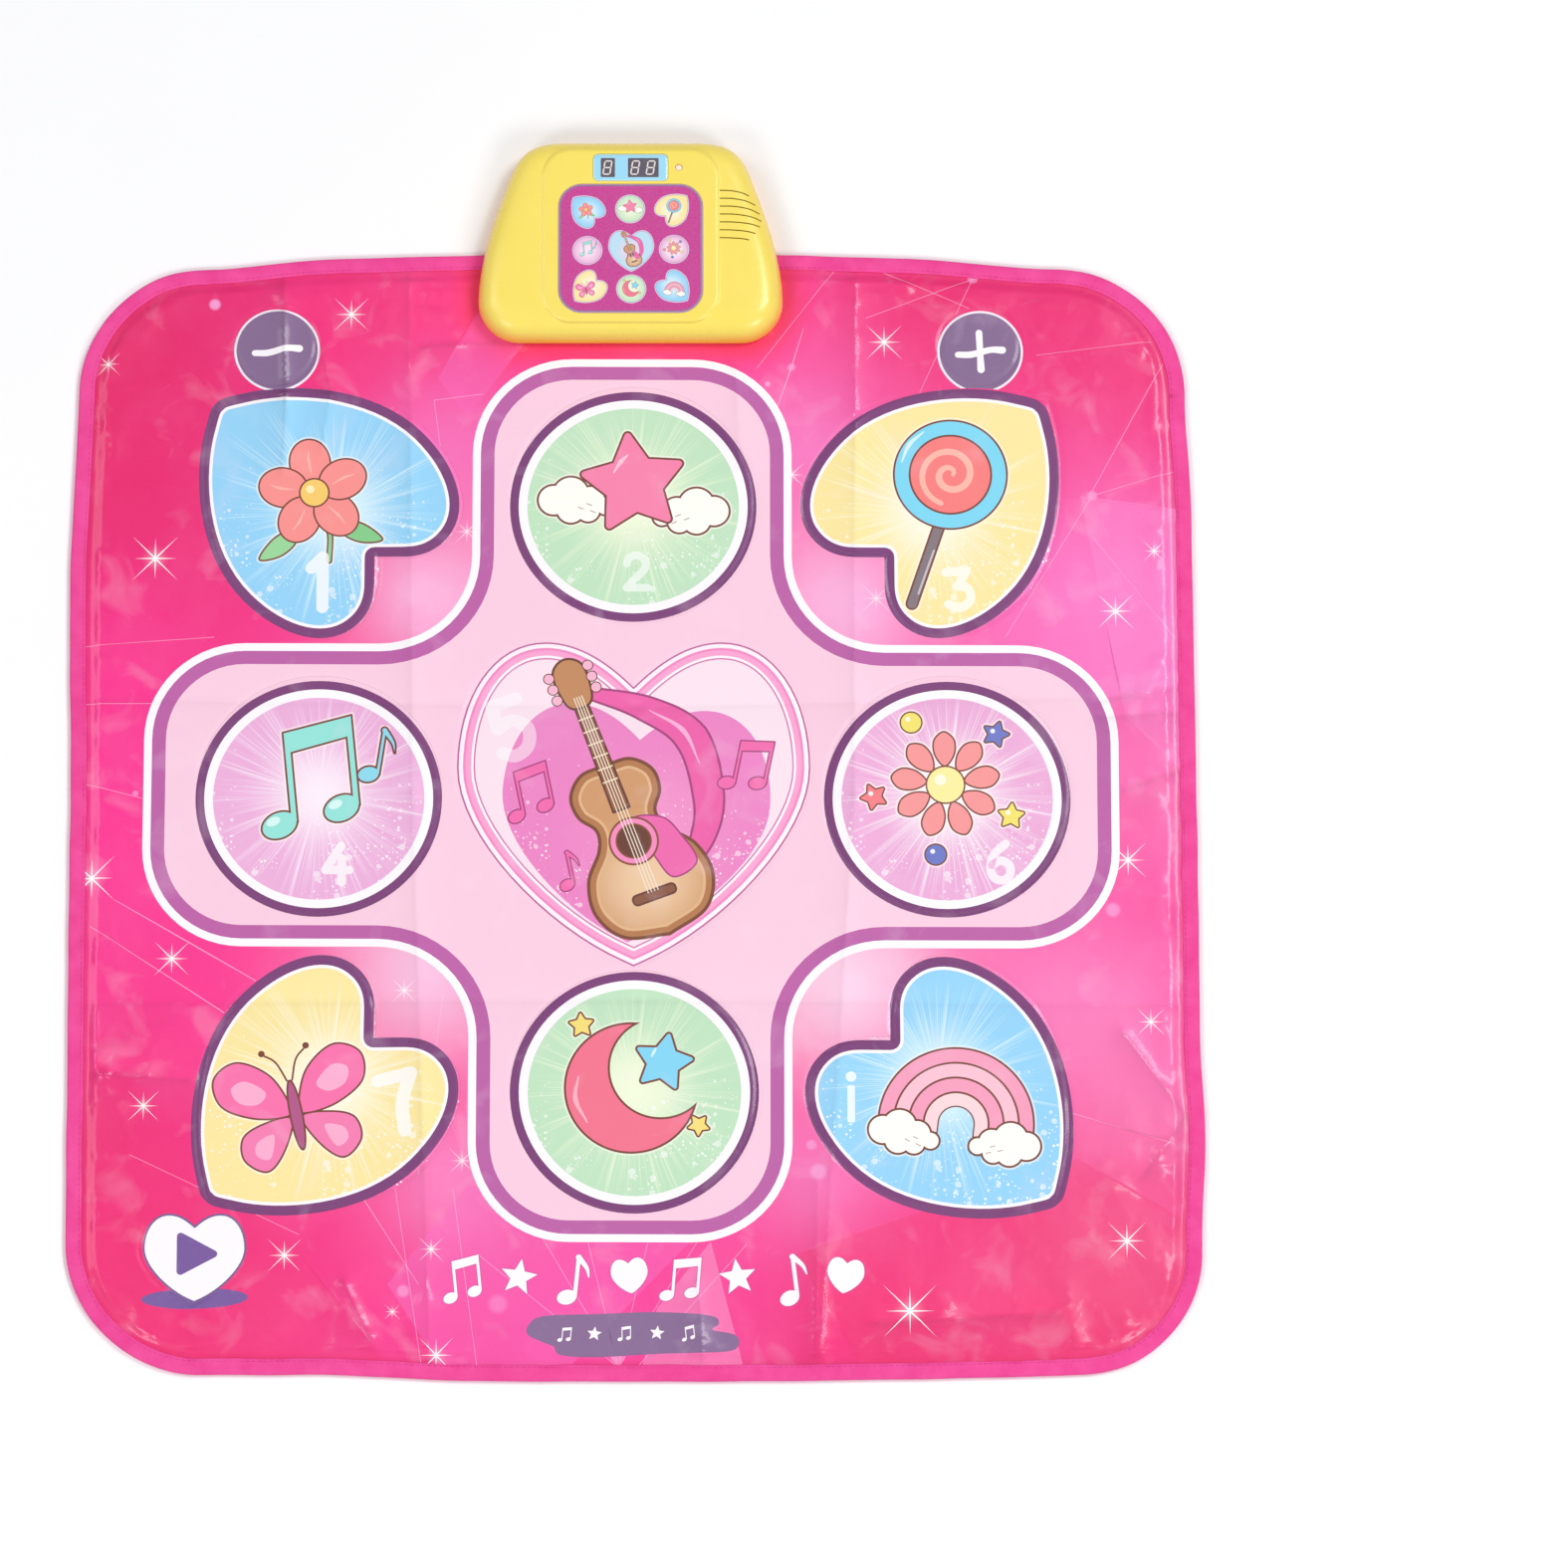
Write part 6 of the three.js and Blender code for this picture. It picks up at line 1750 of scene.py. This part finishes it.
def slot_loops():
    """Seven slots that start on one line, reach further at the middle of the row and droop at their ends."""
    x, y = middle("speaker_frame")
    loops = []
    for k, droop in enumerate(slot_droops):
        length = slot_shortest + slot_bulge * sin((k + 0.5) / slot_count * pi)
        row = y + slot_shift + ((slot_count - 1) / 2 - k) * slot_pitch
        start = x - slot_lead
        line = [(start, row), (start + length * 0.35, row - 0.2), (start + length * 0.75, row - droop * 0.45),
                (start + length, row - droop)]
        loops.append(stroke(line, slot_width, 6))
    return loops


light_hole_radius = 3.03
window_margin = 1.8
housing_spacing = 4.0
crown_steps = (1.7, 2.4, 3.3, 4.4, 5.8, 7.5, 9.6, 12.2, 15.5, 19.5, 24)
panel_steps = (-1.2, -0.6, -0.2, 0.3, 1, 1.8, 2.6, 3.4)


def make_housing():
    """The box's top shell: a crown cut out for the slots, the light and the display, and a side wall."""
    region = box_outline(shoulder)
    window = rounded(*lens_place[0], *(lens_place[1] - 2 * window_margin), 3, 4)
    holes = [*slot_loops(), circle(*middle("status_light"), light_hole_radius, 32), window]
    lines = [box_outline(k) for k in crown_steps]
    lines += [rounded(*raised_middle, raised_size[0] - 2 * k, raised_size[1] - 2 * k, raised_corner - k, 12)
              for k in panel_steps]
    for centre, size, corner in (lens_place, label_place):
        lines += [rounded(*centre, *(size + 2 * k), corner + k, 10) for k in (seat_gap, seat_gap - 0.05)]
    top = slab("housing_shell", region, holes, [], plain("#fcdc58"), box_height,
               lambda p: crown_height(p) - shell_wall, housing_spacing, box_plastic,
               lines=[back_to_start(loop) for loop in lines], drop=0,
               wall_from=lambda p: to_sides(p, box_outline()) > shoulder + 0.3)
    outer = [(share[0] * edge_round, rim_low + share[1] * crown_rise) for share in lower_curve]
    outer_top = outer[-1][1]
    inner_top = outer_top - shell_wall
    wall = [(shoulder, outer_top), *outer[-2::-1], (1.4, rim_low + 0.02), (2.6, rim_low),
            (2.7, rim_low + 4), (2.4, inner_top - 2), (shoulder, inner_top)]
    rows = np.stack([np.c_[box_outline(inset), np.full(len(region), z)] for inset, z in wall], 1)
    side = sweep("housing_side", rows, box_plastic, flip=True)
    welded = welded_together(top, side)
    welded.data.set_sharp_from_angle(angle=radians(42))
    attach(welded, "mat")
    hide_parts("housing_top")
    return welded


# The lens, the label and the light


def eight(x, y, width, length, slant=0.16, bar=1.1):
    """The seven bars of a number display, leaning, with small gaps between them."""
    w, h, g = width / 2, length / 2, 0.35
    bars = [((-w + g, h), (w - g, h)), ((-w + g, 0), (w - g, 0)), ((-w + g, -h), (w - g, -h)),
            ((-w, g), (-w, h - g)), ((w, g), (w, h - g)), ((-w, -h + g), (-w, -g)), ((w, -h + g), (w, -g))]
    loops = []
    for a, b in bars:
        a, b = np.array(a, float), np.array(b, float)
        along = (b - a) / np.linalg.norm(b - a)
        side = np.array([-along[1], along[0]]) * bar / 2
        tip = along * bar / 2
        loop = np.array([a - tip * 0.4, a + tip - side, b - tip - side, b + tip * 0.4, b - tip + side,
                         a + tip + side])
        loops.append(np.c_[loop[:, 0] + loop[:, 1] * slant, loop[:, 1]] + [x, y])
    return loops


def plate_material(name, roughness):
    """Screen-printed plastic sheet."""
    material, tree, shader = finish(name, roughness=roughness)
    place = own_place(tree)
    grain = patchy(tree, place, 900.0, 3.0, 0.0, 0.07)
    feed(tree, shader, {"Base Color": blended(tree, grain, print_of(tree)[0], "#ffffff"),
                        "Coat Weight": 0.3, "Coat Roughness": 0.1})
    raised(tree, shader, noise(tree, place, 60.0, 2.0), 0.15, 0.0003)
    return material


def plate_outline(place, steps=10):
    centre, size, corner = place
    return rounded(*centre, *size, corner, steps)


def domed(place, top, drop, reach):
    """A plate's top, lower by a drop at its rim and level a reach further in."""
    return lambda points: top - drop * (1 - ease(in_rounded(points, *place), 0, reach))


digit_rise = 1.0
digit_shift = 0.3
digit_size = (5.6, 11.2)
lens_spacing = 1.6
label_spacing = 3.0


def make_lens():
    """The display's window with its two dark panes and the bars of three digits behind them."""
    art = [grown_layer(plate_outline(lens_place), -0.9, "#a0dffb")]
    for name, count in (("digit_single", 1), ("digit_double", 2)):
        width, length = size_of(name)
        x, y = middle(name)
        window = rounded(x, y + digit_rise, width, length + 1.2, 0.8, 3)
        art += [grown_layer(window, 0.25, "#c9ecf8"), layer([window], "#575160")]
        for k in range(count):
            at = x + (k - (count - 1) / 2) * width / count
            art += [layer(eight(at - digit_shift, y + digit_rise, *digit_size), "#f4e9e4")]
    lens = slab("lens_plate", plate_outline(lens_place, 8), [], art, plain("#b9e8fb"),
                domed(lens_place, lens_high[2], 0.5, 1.2), level(lens_low[2]), lens_spacing,
                plate_material("lens_blue", 0.14), back="#a0dffb")
    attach(lens, "mat")
    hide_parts("display_lens")
    return lens


icon_places = {
    "pad_1": (-36.5, 490.5), "pad_2": (-2.8, 493.2), "pad_3": (30.6, 492),
    "pad_4": (-37.4, 458), "pad_5": (-2, 457.5), "pad_6": (32.6, 459),
    "pad_7": (-35, 427.7), "pad_8": (31, 428), "pad_9": (-2, 425.5),
}
icon_size = 0.131
round_icon_size = 0.119


def icon(name, x, y):
    """A pad drawn small: its outline with two rims, its ground and its picture."""
    outline_size = round_icon_size if name in print_shifts else icon_size
    small = moved(zones[name] - pad_middle(name), x, y, outline_size)
    if name == "pad_5":
        inner, outer = "#f7d6ea", "#bfe3f6"
        picture = set_down(guitar(), x, y - 0.5, icon_size)
        small = moved(small - [x, y], x, y, 0.98)
    else:
        inner, outer, _, motif, shift, size, turn = pad_plans[name]
        place = np.array([x, y]) + np.array(shift) * icon_size
        picture = set_down(motif(), *place, size * icon_size, turn)
    ground = shaded(np.array([x, y]), inner, outer, 2.0, 13.0)
    return [grown_layer(small, 0.5, "#e9d9ee"), grown_layer(small, -0.15, "#9a78a8"),
            grown_layer(small, -0.5, ground), *picture]


def make_label():
    """The label: two rims, and the nine pads drawn small."""
    outline = plate_outline(label_place, 12)
    art = [grown_layer(outline, -0.8, "#8d6f98"), grown_layer(outline, -1.9, "#ca3092")]
    for name, place in icon_places.items():
        art += icon(name, *place)
    label = slab("label_plate", outline, [], art, plain("#b98fbf"),
                 domed(label_place, label_high[2], 0.25, 0.8), level(label_low[2]), label_spacing,
                 plate_material("label_magenta", 0.32), back="#ca3092")
    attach(label, "mat")
    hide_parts("control_label")
    return label


def make_light():
    """A small dome on a stem, turned from its profile."""
    low, high = (corner[2] for corner in span("status_light"))
    radius = size_of("status_light")[0] / 2
    angle = np.arange(12) / 11 * pi / 2
    profile = [(0.02, low), (radius * 0.9, low), (radius, low + 0.4), (radius, high - 1.6)]
    profile += [(radius * cos(a) * 0.93 + 0.02, high - 1.4 + 1.4 * sin(a)) for a in angle]
    steps = 32
    rows = [np.c_[circle(*middle("status_light"), r, steps), np.full(steps, z)] for r, z in profile]
    rows = np.stack(rows, 1)
    material, tree, shader = finish("light_lens", "#fbe3d8", 0.18)
    feed(tree, shader, {
        "Base Color": blended(tree, noise(tree, own_place(tree), 400.0), "#fbd9cc", "#fff1ea"),
        "Subsurface Weight": 0.3, "Subsurface Radius": (0.002, 0.001, 0.001)})
    lamp = sweep("light_dome", rows, material)
    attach(lamp, "mat")
    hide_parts("status_light")
    return lamp


box_plastic = yellow_plastic("housing_yellow")
film, film_area = make_film()
pads = [make_pad(name) for name in zones]
tape = make_tape()
stitches = make_stitches()
backing, backing_area = make_backing()
shell = make_housing()
lens = make_lens()
label = make_label()
lamp = make_light()

# Finishes of the model's own pieces


def dress(names, material):
    """Gives nodes of the model one finish."""
    for name in names:
        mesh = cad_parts[name].data
        if mesh.materials:
            mesh.materials[0] = material
        else:
            mesh.materials.append(material)


def numbered(stem, count):
    return [f"{stem}_{k + 1}" for k in range(count)]


clear_film = moulded("circuit_film", "#c9d6dc", 0.25, 0.05)
foam = woven("foam", "#f0eee8", "#fbfaf6", 900.0, 0.95)
carbon = moulded("carbon_ink", "#3a3a3e", 0.55, 0.4)
white_plastic = moulded("white_plastic", "#e8e6e0", 0.4)
black_plastic = moulded("switch_black", "#1d1d20", 0.45, 0.3)
steel = metal("screw_steel", "#c3c5c9", 0.28)
spring_steel = metal("contact_steel", "#b9bcc0", 0.22)
speaker_metal = metal("speaker_metal", "#777a80", 0.35)
digit_top = span("digit_single")[1][2]
segments = two_tone("digit_dark", "#efe6e2", "#4b4650", 2, (digit_top - 0.35) * mm, (digit_top - 0.25) * mm)
cell_high = span("battery_cell_1")[1]
cell_end = placed([cell_high[0] - 14, 0, 0])[0]
dress(["housing_bottom", "battery_door"], box_plastic)
dress(["lower_circuit_film", "upper_circuit_film"], clear_film)
dress(["foam_spacer"], foam)
dress([f"{name}_contact" for name in zones], carbon)
dress(["tail_clamp_bar"], white_plastic)
dress(["ribbon_lead"], moulded("ribbon", "#d8d8d4", 0.45))
dress(["display_board", "main_board"], board_green("circuit_board"))
dress(["speaker_frame"], speaker_metal)
dress(["speaker_cone"], woven("speaker_paper", "#26262a", "#38383d", 1500.0, 0.9))
battery_wrap = two_tone("battery_wrap", "#3b6fb0", "#d9a23c", 0, cell_end, cell_end + 0.0002)
dress(numbered("battery_cell", 3), battery_wrap)
dress(["battery_contacts_left", "battery_contacts_right"], spring_steel)
dress([*numbered("case_screw", 4), *numbered("clamp_screw", 2), "battery_door_screw"], steel)
dress(["power_switch_body", "power_switch_knob"], black_plastic)
dress(["digit_single", "digit_double"], segments)


# Stage: a pale floor and soft studio light


def set_stage():
    mesh = bpy.data.meshes.new("floor")
    side, low = 6.0, -0.0002
    corners = [(x * side, y * side, low) for x, y in ((-1, -1), (1, -1), (1, 1), (-1, 1))]
    mesh.from_pydata(corners, [], [(0, 1, 2, 3)])
    material, tree, shader = finish("pale_floor", "#f4f4f6", 0.6)
    shade = patchy(tree, own_place(tree), 3.0)
    feed(tree, shader, {"Base Color": blended(tree, shade, "#fcfcfd", "#fefeff")})
    mesh.materials.append(material)
    floor = bpy.data.objects.new("floor", mesh)
    bpy.context.scene.collection.objects.link(floor)
    world = bpy.data.worlds.new("studio")
    bpy.context.scene.world = world
    world.use_nodes = True
    sky = world.node_tree.nodes["Background"]
    sky.inputs["Color"].default_value = (0.97, 0.98, 1.0, 1)
    sky.inputs["Strength"].default_value = 0.26
    for name, place, size, power in (
            ("key_softbox", (2.6, 1.5, 4.4), 1.8, 110.0),
            ("fill_softbox", (-3.4, 1.0, 4.0), 2.5, 60.0),
            ("front_left_softbox", (-2.8, -3.2, 3.6), 1.5, 70.0),
            ("front_right_softbox", (2.8, -3.0, 3.6), 1.5, 84.0)):
        data = bpy.data.lights.new(name, "AREA")
        data.shape = "SQUARE"
        data.size = size
        data.energy = power
        lamp_object = bpy.data.objects.new(name, data)
        lamp_object.location = place
        lamp_object.rotation_euler = (-Vector(place)).to_track_quat("-Z", "Y").to_euler()
        bpy.context.scene.collection.objects.link(lamp_object)
    bpy.context.scene.view_settings.view_transform = "Standard"


set_stage()
